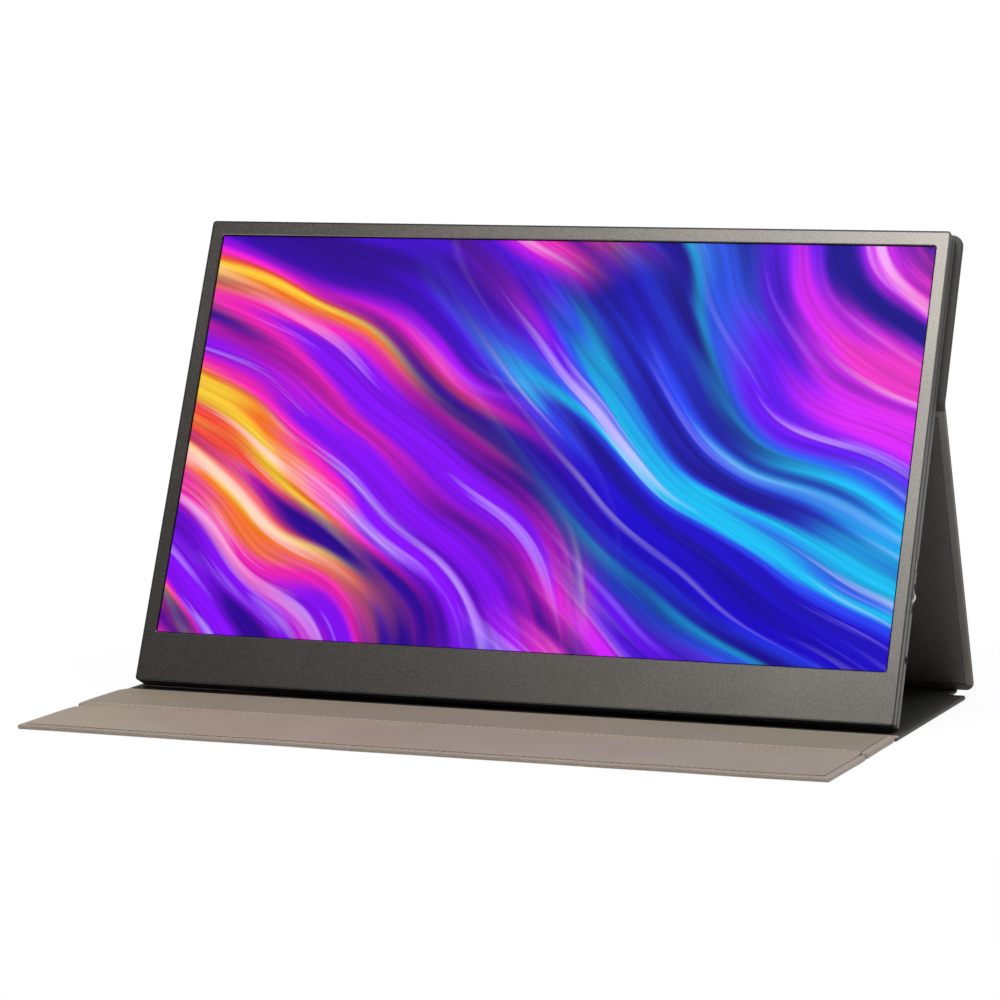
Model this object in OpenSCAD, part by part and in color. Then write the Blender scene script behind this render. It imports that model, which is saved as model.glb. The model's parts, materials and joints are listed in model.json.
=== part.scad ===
// A 15.6-inch portable monitor held by magnets in a folding cover that is also its stand.
// X runs to the right, Y away from the viewer, Z up. The origin is on the surface that the
// cover lies on, below the middle of the whole outline.
// The monitor is drawn upright, with Y as depth from its front face and Z as height from its
// bottom edge, and then leaned back onto the stand. A cover panel is drawn flat, with its
// outer face at the bottom, and then folded to its place.

/* [Screen] */
// Width of the picture area
screen_w = 344.2; // [320:0.1:370]
// Height of the picture area
screen_h = 193.6; // [180:0.1:210]
// Bezel at each side of the picture
bezel_side = 6.5; // [5:0.1:12]
// Bezel above the picture
bezel_top = 7.2; // [6.5:0.1:14]
// Bezel below the picture
bezel_chin = 23.7; // [22:0.1:32]
// Thickness of the bezel plate
bezel_t = 0.9; // [0.7:0.05:1.1]
// Width of the dark rim round the bezel plate
rim_w = 0.7; // [0.5:0.1:1.2]
// Bevel round the picture window
window_bevel = 0.35; // [0.2:0.05:0.6]
// Corner radius of the picture window
window_r = 1.2; // [0.6:0.1:2]

/* [Monitor housing] */
// Thickness of the monitor
monitor_t = 10.4; // [9.8:0.1:13]
// Corner radius of the monitor seen from the front
corner_r = 1.5; // [1.2:0.1:6]
// Depth of the dark bezel carrier
carrier_t = 2; // [1.8:0.1:2.2]
// Depth of the grey middle frame that shows
frame_t = 2; // [1.8:0.1:2.4]
// Width of the dark seam between middle frame and rear shell
seam_w = 1.2; // [0.8:0.1:1.4]
// How far the seam is set back
seam_depth = 0.55; // [0.3:0.05:0.8]
// Wall of the rear shell
wall_t = 1.4; // [1.2:0.1:1.6]
// Back of the rear shell
back_wall_t = 1; // [0.9:0.1:1.3]
// Rounding of the rear edges
rear_edge_r = 1.6; // [1:0.1:2]

/* [Controls and sockets] */
// Depth of the controls and sockets behind the front face
port_depth = 7.6; // [7.5:0.05:7.7]
// Length of the power button
power_l = 5.8; // [4:0.1:7]
// Distance from the status light up to the power button's lower end
power_space = 2.9; // [1.8:0.1:6]
// Distance from the finger recess up to the status light
led_space = 2.1; // [1.5:0.1:4]
// Length of the finger recess above the jog dial
recess_l = 3.4; // [2.8:0.1:6]
// Height of the jog dial
dial_v = 59; // [54:0.1:64]
// Radius of the jog dial
dial_r = 2.8; // [2.4:0.1:3.4]
// How far the jog dial stands out of the side
dial_reach = 0.9; // [0.5:0.1:1.2]
// Length of the menu button
menu_l = 3.8; // [3:0.1:6]
// Width of both buttons
button_w = 2.4; // [1.8:0.1:2.6]
// Travel of both buttons
button_travel = 0.4; // [0.2:0.05:0.45]
// Height of the audio socket
jack_v = 30.8; // [28:0.1:38]
// Bore of the audio socket, for a 3.5 mm plug
jack_bore_r = 1.8; // [1.76:0.01:1.85]
// Depth of the audio socket's bore
jack_l = 13; // [11:0.1:15]
// Height of the lower type-C socket
typec_v = 62; // [58:0.1:70]
// Distance between the type-C sockets
typec_pitch = 16; // [13:0.1:20]
// Height of the small video socket
video_v = 41; // [36:0.1:44]

/* [Stand] */
// How far the screen leans back from upright
tilt = 23.2; // [18:0.1:28]
// Height of the middle fold up the back of the monitor
fold_v = 148; // [135:0.5:160]
// How far the leg can fold in from where it stands, in degrees
fold_travel = 23; // [10:0.5:23]
// Running gap between the monitor's foot and the floor panel
foot_gap = 0.15; // [0.1:0.01:0.3]
// Gap between the monitor's back and the back panel
magnet_gap = 0.15; // [0.1:0.01:0.3]

/* [Cover] */
// Width of the cover
cover_w = 363.4; // [361:0.1:392]
// How far the back panel reaches past the monitor's top
top_over = 2.5; // [0:0.1:6]
// Corner radius at the top of the back panel
back_corner_r = 5.5; // [2:0.1:12]
// Corner radius at the foot of the leg
leg_corner_r = 4; // [2:0.1:8]
// Corner radius at the front edge of the outer flap
panel_corner_r = 1.6; // [1.5:0.1:6]
// Corner radius of panels beside a fold
fold_corner_r = 0.8; // [0.5:0.1:1.5]
// Thickness of the back panel, the leg and the floor panel
panel_t = 2.2; // [2:0.1:3]
// Thickness of the inner flap, the stop before the monitor's foot
inner_flap_t = 3; // [2.6:0.1:4]
// Thickness of the outer flap
outer_flap_t = 2; // [1.8:0.1:3]
// Thickness of the cover's outer skin
skin_t = 0.6; // [0.4:0.05:0.65]
// Width of the hem turned in round each grey panel
hem_w = 3.5; // [3:0.1:9]
// Width of the hem turned in round each flap
flap_hem_w = 3; // [2:0.1:6]
// Width of the turned edge that boards stop at
edge_w = 1.3; // [1.2:0.1:1.8]
// How far the front fold lies before the monitor's foot
front_fold_y = 8; // [7:0.1:14]
// Gap between floor panel and inner flap
front_gap = 4.4; // [4.4:0.1:6]
// Length of the inner flap
inner_flap_l = 41.8; // [30:0.1:60]
// Gap between the two flaps
flap_gap = 3; // [3:0.1:5]
// Length of the outer flap
outer_flap_l = 54.4; // [30:0.1:60]
// Width of the spine with its folds
spine_w = 16.4; // [16:0.1:24]
// Gap between floor panel and spine
spine_gap = 3; // [2.4:0.1:5]
// Clear space on each side of the middle fold
mid_space = 2.2; // [2:0.1:4]
// Clear space between the spine and the rear fold's axis
rear_space = 4.5; // [4.5:0.1:6]
// Clear space between the rear fold's axis and the leg
leg_space = 1.2; // [1.2:0.1:4]
// How far the spine and its two folds are set in at each side
fold_inset = 8; // [2:0.1:20]
// How far the front fold and the flap fold are set in at each side
flap_fold_inset = 1; // [0.8:0.1:8]
// How far the middle fold is set in at each side
mid_fold_inset = 0.8; // [0.8:0.1:8]
// Thickness of the folds' flexible strips
strip_t = 1; // [0.8:0.05:1.2]
// Radius of the cover's magnets
magnet_r = 6; // [4:0.1:8]

/* [Hidden] */
$fn = 48;
cut = 0.5;            // how far a cut runs past the face that it opens
slip = 0.1;           // gap round a board or sheet laid into its place
running = 0.05;       // gap round an axle or a button in its hole
least_r = 0.3;        // smallest corner radius of a drawn-in outline

// Monitor outline and its layers, as depths from the front face
monitor_w = screen_w + 2 * bezel_side;
monitor_h = screen_h + bezel_top + bezel_chin;
half_w = monitor_w / 2;
screen_v = bezel_chin + screen_h / 2;
window_gap = 0.5;     // how far the window clears the picture all round
glass_front = bezel_t + 0.1;
polariser_t = 0.2;
cell_t = 0.9;
film_t = 0.2;
diffuser_t = 0.15;
guide_t = 0.6;
reflector_t = 0.1;
tray_t = 0.3;
cell_front = glass_front + polariser_t;
film_front = cell_front + cell_t + 0.05;
diffuser_front = film_front + 2 * film_t + 0.05;
guide_front = diffuser_front + diffuser_t + 0.05;
reflector_front = guide_front + guide_t;
tray_front = reflector_front + reflector_t;
tray_back = tray_front + tray_t;
module_side = 2.5;    // display module past the picture, at the sides and above
module_foot = 5.5;    // and below
module_w = screen_w + 2 * module_side;
module_h = screen_h + module_side + module_foot;
module_v = bezel_chin - module_foot + module_h / 2;
light_edge = 1.5;     // width of the display module's own plastic frame
seam_front = carrier_t + frame_t;
shell_front = seam_front + seam_w;
shell_floor = monitor_t - back_wall_t;
lip_w = 1.2;
lip_back = shell_front + 0.6;
inner_x = half_w - wall_t;

// Housing screws: four in the chin, three along the top
screw_r = 0.8;
screw_head_r = 1.4;
screw_head_t = 0.6;
screw_l = 5.2;
boss_r = 1.7;
chin_screw_v = 8.5;
top_screw_v = monitor_h - wall_t - 0.15 - boss_r;
corner_screw_inset = 13;
screw_spots = [for (s = [-1, 1]) each [[s * (half_w - corner_screw_inset), chin_screw_v], [s * half_w / 3, chin_screw_v]],
               for (k = [-1, 0, 1]) [k * half_w * 0.7, top_screw_v]];

// Boards
board_t = 0.8;
source_front = carrier_t + 0.6;
source_x = -20;
source_w = 196;
source_h = 12;
source_room = 0.7;    // gap round the source board in the middle frame
screw_pillar_r = screw_head_r + slip + 0.5;
cable_w = 14;
cable_t = 0.2;
cable_landing = 9;    // length of the panel cable on the main board
main_front = 7;       // depth of the main board's front face
main_w = 92;
main_h = 74;
main_v = typec_v - 1;
main_x = -(inner_x - 1.2 - main_w / 2);
main_screw_inset = 4;
main_screws = [for (sx = [-1, 1], sy = [-1, 1])
    [main_x + sx * (main_w / 2 - main_screw_inset), main_v + sy * (main_h / 2 - main_screw_inset)]];
main_pillar_r = 2.2;
main_head_r = 1.5;
main_head_t = 0.7;
cable_x = main_x + main_w / 2 - main_screw_inset - main_head_r - 0.5 - cable_w / 2;

// Sockets
jack_wall = 0.4;
jack_body_w = 6;
jack_pocket = 0.5;
typec_shell = [9, 3.2];
typec_wall = 0.3;
typec_l = 7.4;
typec_round = 1.4;
typec_tongue = [0.7, 6.6];
video_round = 0.5;
video_tongue = [0.8, 8];
video_shell = [11.2, 3.2];
socket_x = -half_w + 0.2;

// Side controls, one above the other from the jog dial
flange_t = 0.6;
flange_edge = 0.5;
button_gap = 0.25;    // visible gap round a button
button_sink = 0.35;   // how far a button's face lies below the side
control_gap = 0.2;
menu_v = dial_v - dial_r - control_gap - flange_edge - menu_l / 2;
recess_v = dial_v + dial_r + control_gap + recess_l / 2;
led_v = recess_v + recess_l / 2 + led_space;
power_v = led_v + power_space + power_l / 2;
key_w = 9;
key_low = jack_v + jack_body_w / 2 + slip;
key_over = 6;         // how far the key board runs on above the power button
key_high = power_v + key_over;
key_front = shell_floor - board_t;
dial_t = 2.4;
dial_x = half_w + dial_reach - dial_r;
dial_pin_r = 0.4;
dial_room = 0.2;      // gap round the jog dial in the shell and before its bracket's web
ear_t = 0.4;
ear_gap = 0.1;
ear_w = 2.8;
ear_front = port_depth - dial_t / 2 - ear_gap - ear_t;
ear_back = port_depth + dial_t / 2 + ear_gap + ear_t;
web_x = dial_x - dial_r - dial_room - ear_t;
key_x = web_x - 0.3 - key_w / 2;
key_plug = [3, 6];
key_ribbon_w = 4;
switch_x = inner_x - 0.3 - flange_t - button_travel - 0.1;

// Stand: foot, middle fold and rear fold in the plane of Y and Z
foot_c = [monitor_t - rear_edge_r, rear_edge_r];      // depth and height of the rear bottom rounding
base_z = panel_t + foot_gap + foot_c[0] * sin(tilt) + rear_edge_r * (1 - cos(tilt));
function leaned(d, v) = [d * cos(tilt) + v * sin(tilt), base_z + v * cos(tilt) - d * sin(tilt)];
foot = leaned(foot_c[0], foot_c[1]);
mid_fold = leaned(monitor_t + magnet_gap + panel_t / 2, fold_v);
fold_z = panel_t / 2;    // the folds' axes lie in the middle of a lying panel
// Leg and lower back have the same reach, so the foot keeps its height while the stand folds
rear_slack = (foot[1] - fold_z) * tan(fold_travel / 2) + 0.1;
rear_fold = [2 * mid_fold[0] - foot[0] + rear_slack, fold_z];
leg_reach = norm(mid_fold - rear_fold);
leg_lean = atan2(rear_fold[0] - mid_fold[0], mid_fold[1] - rear_fold[1]);
leg_l = leg_reach - leg_space - mid_space;
back_l = monitor_h + top_over - fold_v - mid_space;

// Cover, from front to back
front_axis = [-front_fold_y, fold_z];
inner_flap_y = front_axis[0] - front_gap / 2 - inner_flap_l;
flap_axis = [inner_flap_y - flap_gap / 2, fold_z];
outer_flap_y = inner_flap_y - flap_gap - outer_flap_l;
floor_y = front_axis[0] + front_gap / 2;
floor_l = rear_fold[0] - spine_w - floor_y;
spine_y = rear_fold[0] - spine_w + spine_gap;
spine_l = spine_w - spine_gap - rear_space;
spine_width = cover_w - 2 * fold_inset;
bead_r = strip_t / 2 + 0.4;
shift_y = -(outer_flap_y + rear_fold[0] + bead_r) / 2;
back_magnets = [for (k = [-2:2]) k * cover_w / 6];
flap_magnets = [for (k = [-2:2]) k * cover_w / 5.4];

// Places
module placed() { translate([0, shift_y, 0]) children(); }
module on_stand() { placed() translate([0, 0, base_z]) rotate([-tilt, 0, 0]) children(); }
module at_back() {
    placed() translate([0, mid_fold[0], mid_fold[1]]) rotate([90 - tilt, 0, 0])
        translate([0, mid_space, -panel_t / 2]) children();
}
module at_leg() {
    placed() translate([0, rear_fold[0], rear_fold[1]]) rotate([90 + leg_lean, 0, 0])
        translate([0, leg_space, -panel_t / 2]) children();
}
module lying(y) { placed() translate([0, y, 0]) children(); }
// A drawing in X and height, given depth from one distance behind the front face to another
module layer(from, to) { translate([0, to, 0]) rotate([90, 0, 0]) linear_extrude(to - from) children(); }
// A drawing in depth and height, pushed from one X to another
module across(from, to) { translate([from, 0, 0]) rotate([90, 0, 90]) linear_extrude(to - from) children(); }

// Outlines
module outline(w, l, near_r, far_r) {
    translate([-w / 2, near_r]) square([w, l - near_r - far_r]);
    translate([-w / 2 + near_r, 0]) square([w - 2 * near_r, l / 2]);
    translate([-w / 2 + far_r, l / 2]) square([w - 2 * far_r, l / 2]);
    for (s = [-1, 1]) {
        translate([s * (w / 2 - near_r), near_r]) circle(near_r);
        translate([s * (w / 2 - far_r), l - far_r]) circle(far_r);
    }
}
// The same outline, drawn in by an inset
module inner_outline(w, l, inset, near_r, far_r) {
    translate([0, inset]) outline(w - 2 * inset, l - 2 * inset, max(near_r - inset, least_r), max(far_r - inset, least_r));
}
module rounded(w, h, r) { translate([0, -h / 2]) outline(w, h, r, r); }
module box_at(x, v, w, h) { translate([x - w / 2, v - h / 2]) square([w, h]); }
module pill(w, h) { rounded(w, h, min(w, h) / 2 - 0.01); }
module monitor_face(inset) {
    translate([0, monitor_h / 2]) rounded(monitor_w - 2 * inset, monitor_h - 2 * inset, corner_r - min(inset, corner_r - 0.5));
}
module module_face(inset) {
    translate([0, module_v]) square([module_w - 2 * inset, module_h - 2 * inset], center = true);
}

// A soft-edged plate: each edge is turned to a half round
module half_round(l, t) {
    translate([t / 2, 0]) square([l - t, t]);
    for (x = [t / 2, l - t / 2]) translate([x, t / 2]) circle(d = t);
}
module padded_plate(w, l, t, near_r, far_r) {
    intersection() {
        linear_extrude(t) outline(w, l, near_r, far_r);
        across(-w / 2, w / 2) half_round(l, t);
        translate([0, l, 0]) rotate([90, 0, 0]) linear_extrude(l) translate([-w / 2, 0]) half_round(w, t);
    }
}
// Outer skin, wrapped round the board and turned in as a hem
module skin(w, l, t, hem, near_r = fold_corner_r, far_r = fold_corner_r) {
    difference() {
        padded_plate(w, l, t, near_r, far_r);
        translate([0, 0, skin_t]) linear_extrude(t - 2 * skin_t) inner_outline(w, l, edge_w, near_r, far_r);
        translate([0, 0, t - skin_t - cut]) linear_extrude(skin_t + 2 * cut) inner_outline(w, l, hem, near_r, far_r);
    }
}
module board(w, l, t, near_r = fold_corner_r, far_r = fold_corner_r) {
    translate([0, 0, skin_t]) linear_extrude(t - 2 * skin_t) inner_outline(w, l, edge_w + slip, near_r, far_r);
}
// Inner lining, laid on the board and level with the hem
module lining(w, l, t, hem, near_r = fold_corner_r, far_r = fold_corner_r) {
    translate([0, 0, t - skin_t]) linear_extrude(skin_t) inner_outline(w, l, hem + slip, near_r, far_r);
}
module magnet_row(spots, y, t, r) {
    for (x = spots) translate([x, y, skin_t]) cylinder(r = r, h = t - 2 * skin_t);
}

// Back panel, leg, floor panel and spine: the grey part of the cover
module back_panel_skin() {
    color("#2e2e31") at_back() skin(cover_w, back_l, panel_t, hem_w, fold_corner_r, back_corner_r);
}
magnet_drop = 22.5;   // distance of the magnets from the back panel's top
back_magnet_y = back_l - magnet_drop;
module back_panel_board() {
    color("#9a9284") at_back() difference() {
        board(cover_w, back_l, panel_t, fold_corner_r, back_corner_r);
        translate([0, 0, -cut]) magnet_row(back_magnets, back_magnet_y, panel_t + 2 * cut + 2 * skin_t, magnet_r + slip);
    }
}
module back_panel_lining() { color("#3a3a3c") at_back() lining(cover_w, back_l, panel_t, hem_w, fold_corner_r, back_corner_r); }
module back_magnets() { color("silver") at_back() magnet_row(back_magnets, back_magnet_y, panel_t, magnet_r); }

module leg_skin() { color("#2e2e31") at_leg() skin(cover_w, leg_l, panel_t, hem_w, leg_corner_r); }
module leg_board() { color("#9a9284") at_leg() board(cover_w, leg_l, panel_t, leg_corner_r); }
module leg_lining() { color("#3a3a3c") at_leg() lining(cover_w, leg_l, panel_t, hem_w, leg_corner_r); }

module floor_skin() { color("#2e2e31") lying(floor_y) skin(cover_w, floor_l, panel_t, hem_w); }
module floor_board() { color("#9a9284") lying(floor_y) board(cover_w, floor_l, panel_t); }
module floor_lining() { color("#1d1d1f") lying(floor_y) lining(cover_w, floor_l, panel_t, hem_w); }
module spine_skin() { color("#2e2e31") lying(spine_y) skin(spine_width, spine_l, panel_t, flap_hem_w); }
module spine_board() { color("#9a9284") lying(spine_y) board(spine_width, spine_l, panel_t); }

// Flaps: the taupe part of the cover that lies before the screen
module inner_flap_skin() { color("#a79a8f") lying(inner_flap_y) skin(cover_w, inner_flap_l, inner_flap_t, flap_hem_w); }
module inner_flap_board() { color("#9a9284") lying(inner_flap_y) board(cover_w, inner_flap_l, inner_flap_t); }
module inner_flap_lining() { color("#8c8576") lying(inner_flap_y) lining(cover_w, inner_flap_l, inner_flap_t, flap_hem_w); }

module outer_flap_skin() { color("#a79a8f") lying(outer_flap_y) skin(cover_w, outer_flap_l, outer_flap_t, flap_hem_w, panel_corner_r); }
flap_magnet_y = edge_w + slip + 1 + magnet_r;
module outer_flap_board() {
    color("#9a9284") lying(outer_flap_y) difference() {
        board(cover_w, outer_flap_l, outer_flap_t, panel_corner_r);
        translate([0, 0, -cut]) magnet_row(flap_magnets, flap_magnet_y, outer_flap_t + 2 * cut + 2 * skin_t, magnet_r + slip);
    }
}
module outer_flap_lining() { color("#a09184") lying(outer_flap_y) lining(cover_w, outer_flap_l, outer_flap_t, flap_hem_w); }
module flap_magnets() {
    color("silver") lying(outer_flap_y) magnet_row(flap_magnets, flap_magnet_y, outer_flap_t, magnet_r);
}

// Folds: a flexible strip that rolls round its axis between two panels
module fold_strip(at, angles, spaces, inset) {
    placed() translate([0, at[0], at[1]]) across(inset - cover_w / 2, cover_w / 2 - inset) {
        circle(bead_r);
        for (k = [0, 1]) rotate(angles[k]) translate([0, -strip_t / 2]) square([spaces[k] - slip, strip_t]);
    }
}
module mid_fold_strip() { color("#2e2e31") fold_strip(mid_fold, [90 - tilt, leg_lean - 90], [mid_space, mid_space], mid_fold_inset); }
module rear_fold_strip() { color("#2e2e31") fold_strip(rear_fold, [180, 90 + leg_lean], [rear_space, leg_space], fold_inset); }
module front_fold_strip() { color("#2b2926") fold_strip(front_axis, [0, 180], [front_gap / 2, front_gap / 2], flap_fold_inset); }
module flap_fold_strip() {
    color("#8c8576") fold_strip(flap_axis, [0, 180], [flap_gap / 2, flap_gap / 2], flap_fold_inset);
}
module spine_fold_strip() {
    color("#2e2e31") fold_strip([spine_y - spine_gap / 2, fold_z], [0, 180], [spine_gap / 2, spine_gap / 2], fold_inset);
}

// Monitor front
module window(grow) {
    translate([0, screen_v]) rounded(screen_w + 2 * (window_gap + grow), screen_h + 2 * (window_gap + grow), window_r + grow);
}
module front_bezel() {
    color("#86837e") on_stand() difference() {
        layer(0, bezel_t) monitor_face(rim_w + running);
        layer(-cut, bezel_t + cut) window(0);
        hull() {
            layer(-0.01, 0) window(window_bevel);
            layer(window_bevel, window_bevel + 0.01) window(0);
        }
    }
}
module bezel_carrier() {
    color("#232326") on_stand() difference() {
        layer(0, carrier_t) monitor_face(0);
        layer(-cut, bezel_t) monitor_face(rim_w);
        layer(-cut, carrier_t + cut) module_face(-slip);
    }
}
module ring(outer_inset, inner_inset) {
    difference() {
        monitor_face(outer_inset);
        monitor_face(inner_inset);
    }
}
// Notches in the middle frame's lip where sockets, controls and screw bosses pass it
notch_room = 2;       // height that the notches clear above and below
notch_reach = 14;     // how far they reach in
module side_notch(x, low, high) {
    translate([x - notch_reach, 0, low - notch_room]) cube([2 * notch_reach, lip_back + cut, high - low + 2 * notch_room]);
}
module lip_notches() {
    for (spot = screw_spots) translate([spot[0], 0, spot[1]]) rotate([-90, 0, 0])
        cylinder(r = boss_r + 2 * slip, h = lip_back + cut);
    side_notch(half_w, jack_v - jack_body_w / 2, key_high);
    side_notch(-half_w, video_v - video_shell[0] / 2, typec_v + typec_pitch + typec_shell[0] / 2);
}
module middle_frame() {
    color("#7d7c7a") on_stand() difference() {
        union() {
            layer(carrier_t, seam_front) monitor_face(0);
            difference() {
                layer(seam_front, lip_back) ring(wall_t + running, wall_t + running + lip_w);
                translate([0, seam_front, 0]) lip_notches();
            }
        }
        layer(carrier_t - cut, seam_front + cut) module_face(-slip);
        layer(source_front, seam_front + cut) source_outline(source_room, screw_pillar_r);
        for (spot = screw_spots) translate([spot[0], 0, spot[1]]) rotate([-90, 0, 0]) {
            cylinder(r = screw_r + running, h = lip_back + cut);
            cylinder(r = screw_head_r + slip, h = carrier_t + screw_head_t);
        }
    }
}
module seam_gasket() {
    color("#1b1b1d") on_stand() layer(seam_front, shell_front) ring(seam_depth, wall_t);
}

// Monitor rear shell: a tray with soft rear edges, socket holes and screw bosses
module side_profile(l) {
    intersection() {
        translate([-corner_r, 0]) square([monitor_t + corner_r, l]);
        union() {
            translate([-corner_r, 0]) square([monitor_t + corner_r - rear_edge_r, l]);
            translate([0, rear_edge_r]) square([monitor_t, l - 2 * rear_edge_r]);
            for (v = [rear_edge_r, l - rear_edge_r]) translate([monitor_t - rear_edge_r, v]) circle(rear_edge_r);
        }
    }
}
module soft_body() {
    intersection() {
        layer(shell_front, monitor_t) monitor_face(0);
        across(-half_w, half_w) side_profile(monitor_h);
        linear_extrude(monitor_h) translate([-half_w, 0]) mirror([1, -1]) side_profile(monitor_w);
    }
}
module side_hole(v, w, l) { translate([0, 0, v]) across(half_w - wall_t - cut, half_w + cut) translate([port_depth, 0]) pill(w, l); }
module rear_shell() {
    color("#b9b8b5") on_stand() difference() {
        union() {
            difference() {
                soft_body();
                layer(shell_front - cut, shell_floor) monitor_face(wall_t);
            }
            for (spot = screw_spots) translate([spot[0], seam_front, spot[1]]) rotate([-90, 0, 0])
                cylinder(r = boss_r, h = shell_floor - seam_front + 0.2);
            for (spot = main_screws) translate([spot[0], main_front + board_t, spot[1]]) rotate([-90, 0, 0])
                cylinder(r = main_pillar_r, h = shell_floor - main_front - board_t + 0.2);
        }
        for (spot = screw_spots) translate([spot[0], seam_front - cut, spot[1]]) rotate([-90, 0, 0])
            cylinder(r = screw_r, h = shell_floor - seam_front);
        for (spot = main_screws) translate([spot[0], main_front, spot[1]]) rotate([-90, 0, 0])
            cylinder(r = screw_r, h = shell_floor - main_front - 0.2);
        side_hole(power_v, button_w + 2 * button_gap, power_l + 2 * button_gap);
        side_hole(menu_v, button_w + 2 * button_gap, menu_l + 2 * button_gap);
        side_hole(led_v, 0.8, 1.3);
        translate([0, 0, recess_v]) across(half_w - 0.7, half_w + cut) translate([port_depth, 0]) pill(button_w, recess_l);
        translate([dial_x, port_depth - dial_t / 2 - dial_room, dial_v]) rotate([-90, 0, 0])
            cylinder(r = dial_r + dial_room, h = dial_t + 2 * dial_room);
        translate([dial_x, ear_front - running, dial_v]) rotate([-90, 0, 0])
            cylinder(r = dial_pin_r + dial_room, h = ear_back - ear_front + 2 * running);
        translate([half_w - wall_t - cut, port_depth, jack_v]) rotate([0, 90, 0])
            cylinder(r = jack_bore_r + jack_wall + running, h = wall_t + 2 * cut);
        translate([inner_x - jack_l - 2, shell_floor - cut, jack_v - jack_body_w / 2 - slip])
            cube([jack_l + 2, jack_pocket + cut, jack_body_w + 2 * slip]);
        for (v = [typec_v, typec_v + typec_pitch]) translate([0, 0, v]) across(-half_w - cut, -inner_x + cut)
            translate([port_depth, 0]) rounded(typec_shell[1] + 2 * slip, typec_shell[0] + 2 * slip, 1.5);
        translate([0, 0, video_v]) across(-half_w - cut, -inner_x + cut)
            translate([port_depth, 0]) rounded(video_shell[1] + 2 * slip, video_shell[0] + 2 * slip, 0.6);
    }
}

// Display module, from the front
module front_polariser() { color("#101014") on_stand() layer(glass_front, cell_front) module_face(0.8); }
module lcd_cell() { color("#1a1a20") on_stand() layer(cell_front, cell_front + cell_t) module_face(0.2); }
module film(from, t) { on_stand() layer(from, from + t) module_face(light_edge + slip + tray_t); }
module prism_films() {
    color("#e8eaec") for (k = [0, 1]) film(film_front + k * (film_t + 0.02), film_t);
}
module diffuser_film() { color("#f4f4f2") film(diffuser_front, diffuser_t); }
led_h = 2.4;
module light_guide() {
    color("#dfe9ee") on_stand() difference() {
        layer(guide_front, reflector_front) module_face(light_edge + slip + tray_t);
        layer(guide_front - cut, reflector_front + cut) translate([0, bezel_chin - module_foot + light_edge + tray_t])
            square([module_w, 2 * led_h], center = true);
    }
}
module reflector_film() { color("#fafafa") film(reflector_front, reflector_t); }
module backlight_tray() {
    color("#6f7276") on_stand() difference() {
        layer(cell_front + cell_t, tray_back) module_face(0);
        layer(cell_front + cell_t - cut, tray_front) module_face(tray_t);
    }
}
module panel_frame() {
    color("#f0f0ee") on_stand() layer(film_front, tray_front) difference() {
        module_face(tray_t + running);
        module_face(tray_t + light_edge);
    }
}
module led_strip() {
    color("#f5e9b8") on_stand() layer(guide_front, reflector_front)
        translate([0, bezel_chin - module_foot + light_edge + tray_t + running + led_h / 2 - 0.1])
            square([screen_w - 6, led_h - 0.6], center = true);
}
module source_outline(grow, hole_r) {
    difference() {
        box_at(source_x, chin_screw_v + 0.5, source_w + 2 * grow, source_h + 2 * grow);
        for (spot = screw_spots) translate(spot) circle(hole_r);
    }
}
module source_board() {
    color("#1d5a38") on_stand() layer(source_front, source_front + board_t) source_outline(0, screw_pillar_r + 0.3);
}
cable_top = chin_screw_v + source_h / 2 - 0.5;
module cable_run(low, high) { translate([cable_x - cable_w / 2, low]) square([cable_w, high - low]); }
// Ribbon from the source board through the middle frame to the main board
module panel_cable() {
    color("#c98a3a") on_stand() {
        layer(source_front + board_t, source_front + board_t + cable_t) cable_run(chin_screw_v - 2, cable_top);
        layer(source_front + board_t, main_front) cable_run(cable_top - cable_t, cable_top);
        layer(main_front - cable_t, main_front) cable_run(cable_top - cable_t, main_v - main_h / 2 + cable_landing);
    }
}

// Main board on the left with its sockets, hidden side
module socket_spots(grow) {
    for (v = [typec_v, typec_v + typec_pitch]) box_at(socket_x + typec_l / 2, v, typec_l + 2 * grow, typec_shell[0] + 2 * grow);
    box_at(socket_x + typec_l / 2, video_v, typec_l + 2 * grow, video_shell[0] + 2 * grow);
}
module main_board() {
    color("#1d5a38") on_stand() difference() {
        layer(main_front, main_front + board_t) difference() {
            box_at(main_x, main_v, main_w, main_h);
            socket_spots(slip);
        }
        for (spot = main_screws) translate([spot[0], main_front - cut, spot[1]]) rotate([-90, 0, 0])
            cylinder(r = screw_r + slip, h = board_t + 2 * cut);
    }
}
chips = [[-10, 16, 14, 14, 1.2], [14, 18, 9, 9, 1], [-14, -12, 10, 7, 1], [8, -8, 6, 6, 0.9], [26, -10, 7, 4, 1.4], [28, 20, 5, 5, 1.2]];
module board_chips() {
    color("#26262a") on_stand() for (c = chips)
        layer(main_front - c[4], main_front) box_at(main_x + c[0], main_v + c[1], c[2], c[3]);
}
// One socket: a metal mouth with a tongue, open to the side
module socket(v, shell, r, tongue) {
    translate([0, 0, v]) {
        across(socket_x, socket_x + typec_l) translate([port_depth, 0]) difference() {
            rounded(shell[1], shell[0], r);
            rounded(shell[1] - 2 * typec_wall, shell[0] - 2 * typec_wall, r - typec_wall);
        }
        across(socket_x + typec_l - 0.6, socket_x + typec_l) translate([port_depth, 0]) rounded(shell[1] - typec_wall, shell[0] - typec_wall, r - typec_wall);
        across(socket_x + 0.8, socket_x + typec_l) translate([port_depth, 0]) square(tongue, center = true);
    }
}
module type_c_sockets() {
    color("silver") on_stand() for (v = [typec_v, typec_v + typec_pitch]) socket(v, typec_shell, typec_round, typec_tongue);
}
module video_socket() { color("silver") on_stand() socket(video_v, video_shell, video_round, video_tongue); }
module board_screws() {
    color("#b8b8bc") on_stand() for (spot = main_screws) translate([spot[0], main_front, spot[1]]) {
        rotate([-90, 0, 0]) cylinder(r = screw_r, h = board_t + 1.2);
        rotate([90, 0, 0]) cylinder(r = main_head_r, h = main_head_t);
    }
}

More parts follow.
